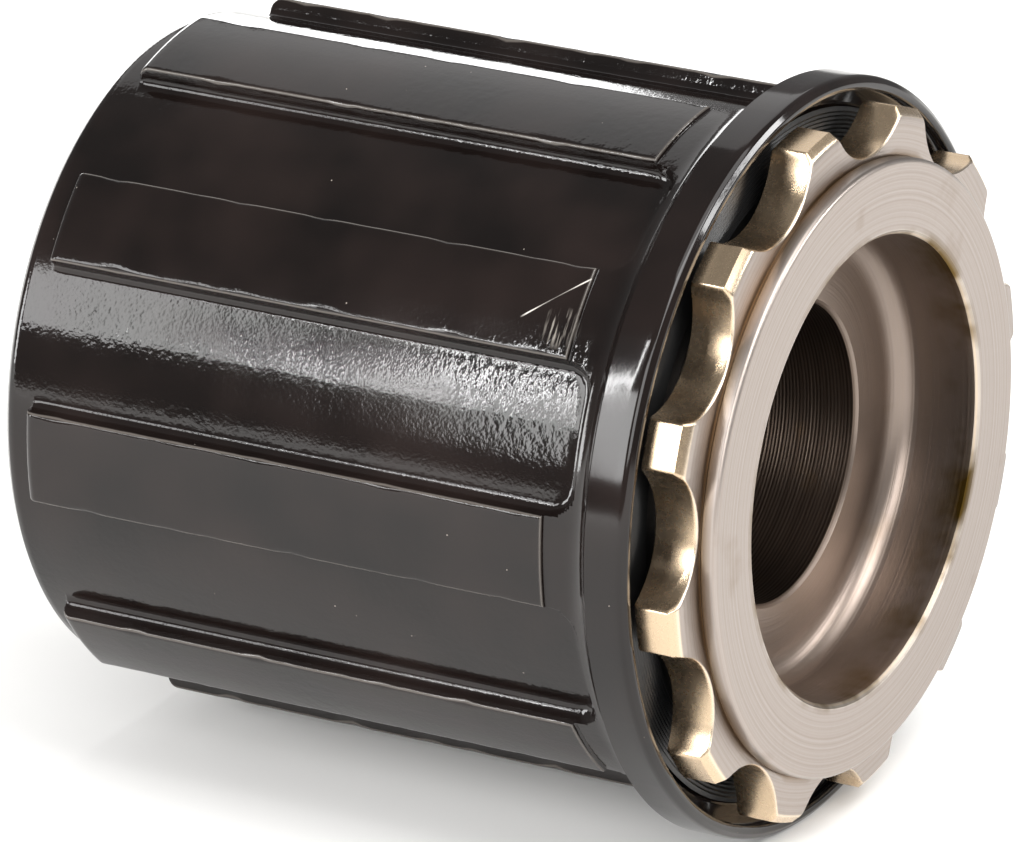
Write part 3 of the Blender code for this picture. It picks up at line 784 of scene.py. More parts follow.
@dataclass
class SplinedShell:
    """Enamelled outer shell: lip, flared collar, nine ridges, lock ring thread, ratchet and two races.

    All lengths are in millimetres.
    """

    overall: float = 38.4
    spline_radius: float = 17.3
    root_radius: float = 16.28
    tail_radius: float = 17.1
    collar_radius: float = 18.5
    collar_rows: tuple[float, ...] = (3.7, 4.2, 4.7)
    lip_station: float = 2.9
    lip_round: float = 0.45
    lip_bore: float = 17.8
    lip_break: float = 0.1
    lip_flat: tuple[float, float] = (163.0, 127.0)
    lip_flat_shares: tuple[float, float] = (0.1, 0.9)
    groove_depth: float = 0.04
    groove_step: float = 0.08
    groove_margin: float = 0.2
    lip_bore_end: float = 3.6
    cone_groove_end: float = 4.16
    seat_end: float = 5.4
    flare_station: float = 5.0
    flare_round: float = 2.0
    flare_rows: int = 9
    flare_row_gap: float = 0.01
    past_flare: float = 0.65
    valley_offset: float = 0.5
    valley_first_turn: float = 0.05
    ridge_start: float = 36.65
    ridge_end: float = 8.0
    ridge_step: float = 0.12
    ridge_count: int = 9
    ridge_degrees: float = 15.4
    wide_ridge: int = 2
    wide_extra_degrees: float = 2.4
    first_ridge_degrees: float = 20.5
    foot_round: float = 0.5
    crown_round: float = 0.16
    end_foot: float = 0.2
    end_crown: float = 0.6
    race_bore: float = 14.94
    race_steps: int = 10
    ball_radius: float = 1.5875
    race_clearance: float = 0.2
    inboard_row: float = 7.4
    outboard_row: float = 27.8
    race_land: float = 30.0
    ratchet_start: float = 12.0
    ratchet_end: float = 24.0125
    ratchet_teeth: int = 24
    ratchet_height: float = 1.0
    ratchet_inset: float = 0.2
    ratchet_flat: float = 0.2
    ratchet_side: float = 0.02
    drive_face_degrees: float = 38.7
    drive_face_gap: float = 0.0006
    drive_face_room: float = 0.002
    thread_start: float = 32.95
    thread_runout: float = 0.1
    thread_pitch: float = 1.0
    thread_rows: int = 6
    thread_depth: float = 0.34
    thread_form: tuple[float, float] = (1.4, 0.2)
    rim_chamfer: float = 0.4
    rim_rows: tuple[float, float] = (37.3, 37.7)
    corner_round: float = 1.6
    corner_row_start: float = 0.3
    corner_row_spacing: float = 0.2
    run_swell: float = 0.22
    run_waves: tuple[tuple[float, int], ...] = ((6.1, 7), (3.7, -11), (2.3, 17))
    # Pale line along the ridge edges, partly thin enamel and partly a painted edge highlight
    sheen_wear_inset: float = 0.05
    sheen_wear_width: float = 0.04
    sheen_wear_start: float = 0.03
    row_spacing: float = 0.52
    row_margins: tuple[float, float] = (1.8, 0.8)
    column_degrees: float = 1.8
    crisp_degrees: float = 50.0
    edge_offsets: tuple[float, ...] = (
        -1.4, -1.0, -0.72, -0.52, -0.40, -0.29, -0.19, -0.10, -0.035, -0.004,
        0.004, 0.03, 0.07, 0.12, 0.18, 0.28, 0.42,
    )
    step_offsets: tuple[float, ...] = (-0.12, -0.06, -0.03, 0.0, 0.03, 0.06, 0.1, 0.16)
    end_offsets: tuple[float, ...] = (
        -0.6, -0.5, -0.4, -0.3, -0.22, -0.14, -0.08, -0.04, -0.015, -0.004,
        0.004, 0.05, 0.1, 0.15, 0.2, 0.28,
    )

    def ridge_edges(self) -> list[tuple[float, float]]:
        """First and last angle of each ridge.

        Returns:
            Both angles of each ridge in order, in radians.
        """
        edges = []
        for index in range(self.ridge_count):
            middle = self.first_ridge_degrees + index * 360.0 / self.ridge_count
            extra = self.wide_extra_degrees if index == self.wide_ridge else 0.0
            half = self.ridge_degrees / 2.0
            edges.append((math.radians(middle - half), math.radians(middle + half + extra)))
        return edges

    def columns(self) -> np.ndarray:
        """Angles of the mesh columns, close together at ridge edges and ratchet faces.

        Returns:
            Sorted angles in radians.
        """
        angles: list[float] = []
        for start, end in self.ridge_edges():
            angles += edge_angles([start], self.edge_offsets, self.spline_radius)
            angles += edge_angles([end], [-offset for offset in self.edge_offsets], self.spline_radius)
        edges = [edge for ridge in self.ridge_edges() for edge in ridge]
        pitch = FULL_TURN / self.ratchet_teeth
        for tooth in range(self.ratchet_teeth):
            face = math.radians(self.drive_face_degrees) + tooth * pitch
            if min(abs(math.remainder(face - edge, FULL_TURN)) for edge in edges) > self.drive_face_room:
                angles += [face - self.drive_face_gap, face + self.drive_face_gap]
                angles.append(face + self.ratchet_flat * pitch)
        return fill_angles(angles, self.column_degrees)

    def flare_centre(self) -> tuple[float, float]:
        """Centre of the collar's hollow flare.

        Returns:
            Its station and radius.
        """
        radius = self.tail_radius + self.flare_round
        drop = radius - self.collar_radius
        return self.flare_station + math.sqrt(self.flare_round**2 - drop**2), radius

    def valley_end(self) -> float:
        """Station where the valleys end against the collar."""
        return self.flare_centre()[0] - self.valley_offset

    def valley_radius(self, station: np.ndarray) -> np.ndarray:
        """Outer radius between the ridges.

        Args:
            station: Station of each point.

        Returns:
            Radius at each point.
        """
        centre, lift = self.flare_centre()
        flare = lift - np.sqrt(np.maximum(self.flare_round**2 - (centre - station) ** 2, 0.0))
        fillet = self.tail_radius - self.root_radius
        along = np.clip(self.valley_end() + fillet - station, 0.0, fillet)
        foot = self.tail_radius - np.sqrt(np.maximum(fillet**2 - along**2, 0.0))
        floor = np.where(station < self.valley_end(), flare, foot)
        return floor - np.maximum(station - (self.overall - self.rim_chamfer), 0.0)

    def ridge_radius(self, station: np.ndarray) -> np.ndarray:
        """Outer radius along the top of a ridge, its tail and the flare.

        Args:
            station: Station of each point.

        Returns:
            Radius at each point.
        """
        centre, lift = self.flare_centre()
        reach = np.clip(centre - station, 0.0, self.flare_round)
        flare = lift - np.sqrt(np.maximum(self.flare_round**2 - reach**2, 0.0))
        step = smooth_step((station - self.ridge_end) / self.ridge_step + 0.5)
        top = flare + (self.spline_radius - self.tail_radius) * step
        depth = self.spline_radius - self.root_radius
        valley = self.valley_radius(station)
        share = wall_share(self.ridge_start - station, depth, self.end_foot, self.end_crown)
        return valley + (top - valley) * share

    def outer_stations(self) -> list[float]:
        """Stations of the rows from the flare to the rim, close together where the outside bends.

        Returns:
            Sorted stations.
        """
        fillet = self.tail_radius - self.root_radius
        turns = np.linspace(self.valley_first_turn, math.pi / 2, self.flare_rows)
        corner_end = self.ridge_end + self.corner_round
        first, last = self.ridge_end + self.row_margins[0], self.ridge_start - self.row_margins[1]
        return sorted((
            *np.linspace(self.flare_station, self.valley_end() - self.flare_row_gap, self.flare_rows),
            *(self.valley_end() + fillet * (1.0 - np.cos(turns))),
            *(self.ridge_end + offset for offset in self.step_offsets),
            *np.arange(self.ridge_end + self.corner_row_start, corner_end, self.corner_row_spacing),
            *np.arange(first, last, self.row_spacing),
            *(self.ridge_start + offset for offset in self.end_offsets),
            self.flare_centre()[0] + self.past_flare,
            *self.rim_rows,
            *(self.overall - self.rim_chamfer * share for share in (1.0, 0.5, 0.0)),
        ))

    def outer_rows(self) -> list[Row]:
        """Rows of the outside.

        Returns:
            The rows from the lip to the rim.
        """
        lip = (self.lip_station + self.lip_round, self.collar_radius - self.lip_round)
        near, far = arc_rows(lip, self.lip_round, *self.lip_flat, steps=1)
        rows = [Row(self.lip_station, self.lip_bore + self.lip_break)]
        rows += arc_rows(lip, self.lip_round, 180.0, self.lip_flat[0], steps=2)
        for share in self.lip_flat_shares:
            station = near.station + share * (far.station - near.station)
            rows.append(Row(station, near.radius + share * (far.radius - near.radius)))
        rows += arc_rows(lip, self.lip_round, self.lip_flat[1], 90.0, steps=4)
        rows += [Row(station, self.collar_radius) for station in self.collar_rows]
        stations = self.outer_stations()
        radii = self.valley_radius(np.array(stations))
        rows += [Row(station, radius, Zone.SPLINE) for station, radius in zip(stations, radii)]
        return rows

    def ratchet_root(self) -> float:
        """Radius at the root of the ratchet's teeth."""
        return self.race_bore - self.ball_radius - self.race_clearance - self.ratchet_inset

    def inner_rows(self) -> list[Row]:
        """Rows of the inside.

        Returns:
            The rows from the rim back to the lip.
        """
        race = self.ball_radius + self.race_clearance
        pitch_radius = self.race_bore - race
        root = self.ratchet_root()
        tip = root - self.ratchet_height
        middle = (root + tip) / 2.0
        relief = root + self.ratchet_inset / 2.0
        step = self.thread_pitch / self.thread_rows
        turns = np.arange(self.overall - self.rim_chamfer, self.thread_start, -step)
        rows = [Row(self.overall, self.race_bore + self.rim_chamfer)]
        rows += [Row(station, self.race_bore, Zone.THREAD) for station in turns]
        rows.append(Row(self.thread_start - self.thread_runout, self.race_bore))
        rows.append(Row(self.race_land, self.race_bore))
        rows += arc_rows((self.outboard_row, pitch_radius), race, 90.0, 180.0, self.race_steps)
        rows += [Row(self.outboard_row - race, relief), Row(self.ratchet_end + self.ratchet_side, relief)]
        rows += [Row(station, middle, Zone.RATCHET) for station in (self.ratchet_end, self.ratchet_start)]
        rows += [Row(self.ratchet_start - self.ratchet_side, tip), Row(self.inboard_row + race, tip)]
        rows += arc_rows((self.inboard_row, pitch_radius), race, 0.0, 90.0, self.race_steps)
        rows.append(Row(self.seat_end, self.race_bore))
        slope = (self.lip_bore - self.race_bore) / (self.seat_end - self.lip_bore_end)
        cone = np.arange(self.cone_groove_end, self.lip_bore_end, -self.groove_step / slope)
        for index, station in enumerate(cone):
            radius = self.lip_bore - slope * (station - self.lip_bore_end)
            rows.append(Row(station, radius + self.groove_depth * (index % 2)))
        rows.append(Row(self.lip_bore_end, self.lip_bore))
        last = self.lip_station + self.groove_margin
        lip = np.arange(self.lip_bore_end - self.groove_step, last, -self.groove_step)
        for index, station in enumerate(lip):
            rows.append(Row(station, self.lip_bore + self.groove_depth * (index % 2)))
        rows.append(Row(self.lip_station + self.lip_break, self.lip_bore))
        return rows

    def ridge_distance(self, angle: np.ndarray) -> np.ndarray:
        """Distance inside the nearest ridge's edge.

        Args:
            angle: Angle of each point, in radians.

        Returns:
            Distance at each point, negative in the valleys.
        """
        inside = np.full(len(angle), -np.inf)
        for start, end in self.ridge_edges():
            off = np.abs(np.mod(angle - (start + end) / 2.0 + math.pi, FULL_TURN) - math.pi)
            inside = np.maximum(inside, ((end - start) / 2.0 - off) * self.spline_radius)
        return inside

    def crown_rounds(self, station: np.ndarray, angle: np.ndarray) -> np.ndarray:
        """Round on the ridges' edges, wider where the enamel ran before it set.

        Args:
            station: Station of each point.
            angle: Angle of each point, in radians.

        Returns:
            Radius of the round at each point.
        """
        swell = np.ones(len(station))
        for length, twist in self.run_waves:
            swell *= 0.5 + 0.5 * np.sin(FULL_TURN * station / length + twist * angle)
        return self.crown_round + self.run_swell * swell

    def cut_spline(self, blank: Blank) -> None:
        """Cuts the valleys between the ridges, and marks a pale edge line: thin enamel and a painted
        highlight.

        Args:
            blank: The turned blank.
        """
        spline = blank.zone_mask(Zone.SPLINE)
        station, angle = blank.station[spline], blank.angle[spline]
        inside = self.ridge_distance(angle)
        near = np.clip(self.corner_round + inside, 0.0, self.corner_round)
        push = self.corner_round - np.sqrt(self.corner_round**2 - near**2)
        rounded = np.maximum(station - push, np.minimum(station, self.flare_station))
        ending = station < self.ridge_end + self.corner_round
        ridge = self.ridge_radius(station)
        valley = np.minimum(self.valley_radius(np.where(ending, rounded, station)), ridge)
        depth = self.spline_radius - self.root_radius
        share = wall_share(inside, depth, self.foot_round, self.crown_rounds(station, angle))
        blank.radius[spline] = valley + (ridge - valley) * share
        # Pale line just inside each ridge edge: thin enamel and a painted edge highlight
        along = np.minimum(station - self.ridge_end, self.ridge_start - station)
        least = np.minimum(inside, along)
        line = np.exp(-(((least - self.sheen_wear_inset) / self.sheen_wear_width) ** 2))
        edge = np.zeros(len(blank.row))
        edge[spline] = line * smooth_step(least / self.sheen_wear_start)
        blank.mark("edge", edge)

    def cut_inside(self, blank: Blank) -> None:
        """Cuts the lock ring thread and the ratchet teeth.

        Args:
            blank: The turned blank.
        """
        thread = blank.zone_mask(Zone.THREAD)
        turn = np.mod(blank.station[thread] / self.thread_pitch + blank.angle[thread] / FULL_TURN, 1.0)
        slope, flat = self.thread_form
        groove = smooth_step(slope * (1.0 - np.abs(2.0 * turn - 1.0)) - flat)
        blank.radius[thread] += self.thread_depth * groove
        ratchet = blank.zone_mask(Zone.RATCHET)
        pitch = FULL_TURN / self.ratchet_teeth
        place = np.mod(blank.angle[ratchet] - math.radians(self.drive_face_degrees), pitch) / pitch
        ramp = np.clip((place - self.ratchet_flat) / (1.0 - self.ratchet_flat), 0.0, 1.0)
        blank.radius[ratchet] = self.ratchet_root() - self.ratchet_height * ramp

    def build(self, finish: Material) -> Object:
        """Makes and dresses the shell.

        Args:
            finish: Enamel for the whole piece.

        Returns:
            The finished piece.
        """
        blank = Blank.turn("shell_enamelled", self.outer_rows() + self.inner_rows(), self.columns())
        self.cut_spline(blank)
        self.cut_inside(blank)
        blank.write()
        dress(blank.piece, finish, self.crisp_degrees)
        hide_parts("splined_shell")
        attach(blank.piece, "shell")
        return blank.piece


@dataclass
class InnerBody:
    """Nickel plated core: hub seat, counterbore, driving teeth, cone, pawl pockets and cup socket.

    All lengths are in millimetres.
    """

    seat_bore: float = 11.35
    seat_depth: float = 4.55
    seat_fillet: float = 1.4
    seat_wall_rows: tuple[float, ...] = (2.2, 1.2, 0.5)
    seat_floor_rows: tuple[float, ...] = (8.2, 9.2)
    bore: float = 7.35
    bore_rows: int = 12
    bore_row_start: float = 0.3
    edge_break: float = 0.2
    mouth_row: float = 0.08
    corner_blend: float = 0.3
    boss_radius: float = 15.0
    boss_chamfer: float = 0.25
    boss_height: float = 0.9
    boss_rows: int = 6
    boss_row_gap: float = 0.05
    relief: float = 0.07
    relief_heights: tuple[float, float] = (0.14, 0.06)
    tooth_count: int = 12
    tooth_tip: float = 17.3
    tooth_root: float = 15.15
    tooth_back: float = 3.1
    tooth_chamfer: float = 0.4
    back_break: float = 0.12
    tip_width: float = 2.4
    first_tooth_degrees: float = 8.5
    burr: float = 0.07
    least_face: float = 0.02
    no_scallop: float = 40.0
    face_shares: tuple[float, ...] = (0.0, 0.25, 0.5, 0.75, 1.0)
    back_shares: tuple[float, ...] = (0.85, 0.4, 0.0)
    wall_offsets: tuple[float, ...] = (
        0.05, 0.12, 0.22, 0.32, 0.4, 0.5, 0.8, 1.2, 1.6, 1.95, 2.08, 2.14, 2.2,
    )
    ball_radius: float = 1.5875
    race_clearance: float = 0.2
    race_steps: int = 10
    pitch_radius: float = 13.1525
    inboard_row: float = 7.4
    barrel_rows: tuple[float, ...] = (11.5, 20.7)
    core_end: float = 26.0125
    socket_depth: float = 4.8
    socket_wall: float = 1.415
    pawl_count: int = 2
    pawl_degrees: float = 75.0
    pawl_depth: float = 1.55
    pocket_round: float = 1.4
    pocket_arc: tuple[float, float] = (18.0, 189.0)
    pocket_arc_points: int = 14
    pocket_drop: float = 2.39
    pocket_reach: float = 5.995
    pocket_over: float = 1.0
    pocket_mouth: tuple[float, float] = (2.6, 1.4)
    pocket_start: float = 12.0
    pocket_width: float = 8.2
    mark_margin: float = 0.02
    # Painted shade in the crease at the boss's foot
    crease_shade_share: float = 0.85
    crease_shade_height: float = 0.15
    crease_shade_width: float = 0.3
    # Painted highlight along the teeth's front edges and the counterbore's mouth
    glint_share: float = 0.6
    glint_width: float = 0.16
    glint_mouth: float = 0.25
    column_degrees: float = 1.2
    crisp_degrees: float = 32.0
    corner_offsets: tuple[float, ...] = (
        -0.45, -0.30, -0.20, -0.13, -0.08, -0.04, 0.0, 0.04, 0.08, 0.13, 0.20, 0.30, 0.45,
    )

    def core_radius(self) -> float:
        """Radius of the core's barrel between the two ball rows."""
        return self.pitch_radius - self.ball_radius - self.race_clearance

    def half_tooth(self) -> float:
        """Half the angle of a tooth's tip, in radians."""
        return math.asin(self.tip_width / 2.0 / self.tooth_tip)

    def columns(self) -> np.ndarray:
        """Angles of the mesh columns, close together at the teeth's corners.

        Returns:
            Sorted angles in radians.
        """
        first = math.radians(self.first_tooth_degrees)
        middles = [first + i * FULL_TURN / self.tooth_count for i in range(self.tooth_count)]
        corners = [middle + side * self.half_tooth() for middle in middles for side in (-1, 1)]
        return fill_angles(edge_angles(corners, self.corner_offsets, self.tooth_tip), self.column_degrees)

    def scallop_radius(self, angle: np.ndarray) -> np.ndarray:
        """Radius of the round hollows between the teeth.

        Args:
            angle: Angle of each point, in radians.

        Returns:
            Radius at each point, large where a tooth stands.
        """
        pitch = FULL_TURN / self.tooth_count
        off = np.mod(angle - math.radians(self.first_tooth_degrees), pitch) - pitch / 2.0
        half = pitch / 2.0 - self.half_tooth()
        width = self.tooth_tip * math.sin(half)
        drop = self.tooth_tip * math.cos(half) - self.tooth_root
        hollow = (width**2 + drop**2) / (2.0 * drop)
        centre = self.tooth_root + hollow
        reach = hollow**2 - (centre * np.sin(off)) ** 2
        found = centre * np.cos(off) - np.sqrt(np.maximum(reach, 0.0))
        return np.where(reach > 0.0, found, self.no_scallop)

    def tip_radius(self, station: np.ndarray) -> np.ndarray:
        """Turned outside of the toothed flange, chamfered on the hub side.

        Args:
            station: Station of each point.

        Returns:
            Radius at each point.
        """
        front = np.clip(self.boss_height + self.tooth_chamfer - station, 0.0, self.tooth_chamfer)
        back = np.clip(station - (self.tooth_back - self.back_break), 0.0, self.back_break)
        return np.minimum(self.tooth_tip - front, self.tooth_tip - back)

    def outer_rows(self) -> list[Row]:
        """Rows of the outside.

        Returns:
            The rows from the counterbore's mouth out over the boss and teeth and along the barrel.
        """
        boss, height = self.boss_radius, self.boss_height
        mouth = self.seat_bore + self.edge_break
        rows = [Row(low, mouth - low) for low in (self.edge_break, self.mouth_row, 0.0)]
        last = boss - self.boss_chamfer - self.boss_row_gap
        rows += [Row(0.0, radius) for radius in np.linspace(mouth + self.boss_row_gap, last, self.boss_rows)]
        corner = (self.boss_chamfer, boss - self.boss_chamfer)
        rows += arc_rows(corner, self.boss_chamfer, 180.0, 90.0, steps=5)
        inner = boss - self.relief
        rows += [Row(height - low, radius) for low, radius in zip(self.relief_heights, (boss, inner))]
        for share in self.face_shares:
            radius = inner + share * (self.tooth_tip - self.burr - inner)
            rows.append(Row(height, radius, Zone.TOOTH_FACE, share))
        rows += [Row(height + offset, self.tooth_tip, Zone.TOOTH_WALL) for offset in self.wall_offsets]
        for share in self.back_shares:
            radius = self.pitch_radius + share * (self.tooth_tip - self.pitch_radius)
            rows.append(Row(self.tooth_back, radius, Zone.TOOTH_BACK, share))
        race = self.ball_radius + self.race_clearance
        rows += arc_rows((self.inboard_row, self.pitch_radius), race, 180.0, 270.0, self.race_steps)
        rows += [Row(station, self.core_radius()) for station in (*self.barrel_rows, self.core_end)]
        return rows

    def inner_rows(self) -> list[Row]:
        """Rows of the inside.

        Returns:
            The rows from the cup's socket back through the bore to the counterbore.
        """
        socket = self.core_radius() - self.socket_wall
        start = self.core_end - self.socket_depth
        bored = np.linspace(start - self.bore_row_start, self.seat_depth + self.edge_break, self.bore_rows)
        fillet = (self.seat_depth - self.seat_fillet, self.seat_bore - self.seat_fillet)
        rows = [Row(self.core_end, socket), Row(start, socket), Row(start, self.bore)]
        rows += [Row(station, self.bore) for station in bored]
        rows.append(Row(self.seat_depth, self.bore + self.edge_break))
        rows += [Row(self.seat_depth, radius) for radius in self.seat_floor_rows]
        rows += arc_rows(fillet, self.seat_fillet, 0.0, 90.0, steps=12)
        rows += [Row(station, self.seat_bore) for station in self.seat_wall_rows]
        return rows

    def cut_teeth(self, blank: Blank) -> None:
        """Cuts the driving teeth into the turned blank.

        Args:
            blank: The turned blank.
        """
        scallop, turned = self.scallop_radius(blank.angle), self.tip_radius(blank.station)
        edge = smooth_least(scallop, turned, self.corner_blend)
        shares = blank.shares()
        face = blank.zone_mask(Zone.TOOTH_FACE)
        inner = self.boss_radius - self.relief
        width = np.maximum(edge[face] - self.burr - inner, self.least_face)
        blank.radius[face] = inner + shares[face] * width
        wall = blank.zone_mask(Zone.TOOTH_WALL)
        lift = np.clip((blank.station[wall] - self.boss_height) / self.burr, 0.0, 1.0)
        blank.radius[wall] = edge[wall] - self.burr * (1.0 - lift)
        back = blank.zone_mask(Zone.TOOTH_BACK)
        blank.radius[back] = self.pitch_radius + shares[back] * (edge[back] - self.pitch_radius)

    def mark_surfaces(self, blank: Blank) -> None:
        """Marks what each surface is, the painted shade in the boss's crease and the edges' painted
        highlight.

        Args:
            blank: The blank with its teeth cut.
        """
        station, radius = blank.station, blank.radius
        wall = blank.zone_mask(Zone.TOOTH_WALL)
        tone = np.full(len(blank.row), Tone.FACE.value)
        tone[wall] = Tone.MILLED.value
        # The counterbore's darker tone is painted shade in the recess
        tone[radius < self.seat_bore + self.mark_margin] = Tone.SEAT.value
        tone[(radius < self.bore + self.mark_margin) & (station > self.seat_depth)] = Tone.BORE.value
        # Painted shade in the crease where the boss meets the tooth faces
        foot = (station > self.boss_height - self.crease_shade_height) & ~wall & (blank.shares() == 0.0)
        in_crease = foot & (np.abs(radius - self.boss_radius) < self.crease_shade_width)
        # Painted highlight on the front edge of the tooth walls and the counterbore's mouth chamfer
        bright = np.zeros(len(blank.row))
        faded = smooth_step((station[wall] - self.boss_height) / self.glint_width)
        bright[wall] = self.glint_share * (1.0 - faded)
        mouth = (station < self.edge_break + self.mark_margin) & (radius < self.seat_bore + self.edge_break)
        bright[mouth] = self.glint_mouth
        blank.mark("tone", tone)
        blank.mark("crease_shade", self.crease_shade_share * in_crease)
        blank.mark("edge", bright)
        blank.mark("polish", wall.astype(float))

    def pocket_points(self, angle: float) -> list[Vector]:
        """Outline of a pawl's pocket in the cross-section.

        Args:
            angle: Angle of the pawl's pivot, in radians.

        Returns:
            Places in metres, on the pocket's starting face.
        """
        pivot = self.core_radius() - self.pawl_depth
        turns = np.radians(np.linspace(*self.pocket_arc, self.pocket_arc_points))
        local = [(pivot + self.pocket_round * math.cos(t), self.pocket_round * math.sin(t)) for t in turns]
        out = self.core_radius() + self.pocket_over
        low, wide = self.pocket_mouth
        heel = local[0][1]
        toe = -self.pocket_reach
        local += [(pivot - self.pocket_drop, toe), (out - low, toe - wide), (out, heel)]
        start = Vector((HUB_FACE_X - self.pocket_start * MM, 0.0, 0.0))
        turn = Matrix.Rotation(angle, 3, "X")
        return [turn @ Vector((0.0, y * MM, z * MM)) + start for y, z in local]

    def build(self, finish: Material) -> Object:
        """Makes and dresses the core.

        Args:
            finish: Nickel plate for the whole piece.

        Returns:
            The finished piece.
        """
        blank = Blank.turn("core_plated", self.outer_rows() + self.inner_rows(), self.columns())
        self.cut_teeth(blank)
        self.mark_surfaces(blank)
        blank.write()
        for index in range(self.pawl_count):
            angle = math.radians(self.pawl_degrees) + index * FULL_TURN / self.pawl_count
            cut_prism(blank.piece, self.pocket_points(angle), -self.pocket_width * MM)
        dress(blank.piece, finish, self.crisp_degrees)
        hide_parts("inner_body")
        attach(blank.piece, "core")
        return blank.piece


@dataclass
class BearingCup:
    """Hardened cup screwed into the core: outboard cone, flange, axle race and two tool notches.

    All lengths are in millimetres.
    """

    spigot_start: float = 21.5125
    spigot_radius: float = 9.8
    shoulder: float = 26.3625
    cone_radius: float = 11.365
    ball_row: float = 27.8
    pitch_radius: float = 13.1525
    race_radius: float = 1.7875
    race_steps: int = 14
    flange_radius: float = 14.54
    face: float = 31.4875
    bore: float = 8.5
    axle_race: float = 3.4
    axle_race_arc: tuple[float, float] = (88.0, 180.0)
    axle_race_steps: int = 18
    edge_break: float = 0.12
    notch_width: float = 3.0
    notch_depth: float = 0.9
    notch_length: float = 2.6
    notch_over: float = 1.0
    columns: int = 144
    crisp_degrees: float = 30.0

    def rows(self) -> list[Row]:
        """Section of the cup.

        Returns:
            The rows from the spigot's bore round to the axle race.
        """
        small = self.edge_break
        flange_start = self.ball_row + self.race_radius
        rows = [Row(self.spigot_start, self.bore), Row(self.spigot_start, self.spigot_radius - small)]
        rows += [Row(self.spigot_start + small, self.spigot_radius), Row(self.shoulder, self.spigot_radius)]
        rows.append(Row(self.shoulder, self.cone_radius))
        rows += arc_rows((self.ball_row, self.pitch_radius), self.race_radius, -90.0, 0.0, self.race_steps)
        flange = self.flange_radius
        rows += [Row(flange_start, flange - small), Row(flange_start + small, flange)]
        rows += [Row(self.face - small, flange), Row(self.face, flange - small)]
        rows.append(Row(self.face, self.bore + self.axle_race + small))
        rows += arc_rows((self.face, self.bore), self.axle_race, *self.axle_race_arc, self.axle_race_steps)
        return rows

    def cut_notches(self, piece: Object) -> None:
        """Cuts the two tool notches into the cup's face.

        Args:
            piece: The turned cup.
        """
        x = HUB_FACE_X - (self.face - self.notch_depth) * MM
        half = self.notch_width / 2.0
        for side in (-1.0, 1.0):
            inner = side * (self.flange_radius - self.notch_length)
            outer = side * (self.flange_radius + self.notch_over)
            corners = [(inner, -half), (outer, -half), (outer, half), (inner, half)]
            points = [Vector((x, y * MM, z * MM)) for y, z in corners]
            cut_prism(piece, points, -(self.notch_depth + self.notch_over) * MM)

    def build(self, finish: Material) -> Object:
        """Makes and dresses the cup.

        Args:
            finish: Steel for the whole piece.

        Returns:
            The finished piece.
        """
        piece = turn_rows("cup_ground", self.rows(), self.columns)
        self.cut_notches(piece)
        dress(piece, finish, self.crisp_degrees)
        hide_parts("bearing_cup")
        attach(piece, "core")
        return piece


@dataclass
class Seals:
    """Moulded rubber rings that close both ends of the shell. All lengths are in millimetres."""

    hub_front: float = 4.0
    hub_back: float = 5.1
    hub_inner: float = 13.4525
    hub_outer: float = 16.85
    hub_back_outer: float = 15.117
    hub_thickness: float = 1.0
    hub_land: float = 0.12
    hub_bevel: float = 0.1
    rib_depth: float = 0.06
    rib_count: int = 11
    dust_start: float = 31.7875
    dust_thickness: float = 1.0
    dust_inner: float = 12.89
    dust_outer: float = 14.89
    groove_half_mouth: float = 0.3
    groove_half_floor: float = 0.1
    groove_depth: float = 0.2
    corner: float = 0.2
    corner_steps: int = 4
    columns: int = 144
    crisp_degrees: float = 40.0

    def hub_rows(self) -> list[Row]:
        """Dished section of the hub side seal, with fine ribs moulded in its front.

        Returns:
            The rows from the inner edge out over the ribs and round the back.
        """
        start = self.hub_inner + self.hub_thickness
        ribs = np.linspace(start, self.hub_outer - self.corner, 2 * self.rib_count + 1)
        rows = [Row(self.hub_back - self.hub_thickness, self.hub_inner)]
        rows.append(Row(self.hub_front + self.hub_bevel, start - self.hub_bevel))
        rows += [Row(self.hub_front + self.rib_depth * (i % 2), radius) for i, radius in enumerate(ribs)]
        rows.append(Row(self.hub_front + self.corner / 2.0, self.hub_outer))
        rows.append(Row(self.hub_front + self.hub_land, self.hub_outer))
        rows += [Row(self.hub_back, radius) for radius in (self.hub_back_outer, self.hub_inner)]
        return rows

    def dust_rows(self) -> list[Row]:
        """Section of the dust ring, round at its corners, with a groove in its outer face.

        Returns:
            The rows from the inner edge of its inside face round to the same edge of its outside face.
        """
        end = self.dust_start + self.dust_thickness
        inside, outside = self.dust_start + self.corner, end - self.corner
        near, far = self.dust_inner + self.corner, self.dust_outer - self.corner
        middle = (near + far) / 2.0
        rows = arc_rows((inside, near), self.corner, 270.0, 180.0, self.corner_steps)
        rows += arc_rows((inside, far), self.corner, 180.0, 90.0, self.corner_steps)
        rows += arc_rows((outside, far), self.corner, 90.0, 0.0, self.corner_steps)
        rows.append(Row(end, middle + self.groove_half_mouth))
        rows += [Row(end - self.groove_depth, middle + side * self.groove_half_floor) for side in (1, -1)]
        rows.append(Row(end, middle - self.groove_half_mouth))
        rows += arc_rows((outside, near), self.corner, 360.0, 270.0, self.corner_steps)
        return rows

    def build(self, finish: Material) -> list[Object]:
        """Makes and dresses both seals.

        Args:
            finish: Rubber for both rings.

        Returns:
            The finished pieces.
        """
        sections = {
            "hub_side_seal": ("seal_moulded", self.hub_rows()),
            "outboard_dust_ring": ("dust_ring_moulded", self.dust_rows()),
        }
        pieces = []
        for node, (name, rows) in sections.items():
            piece = turn_rows(name, rows, self.columns)
            dress(piece, finish, self.crisp_degrees)
            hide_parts(node)
            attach(piece, "shell")
            pieces.append(piece)
        return pieces


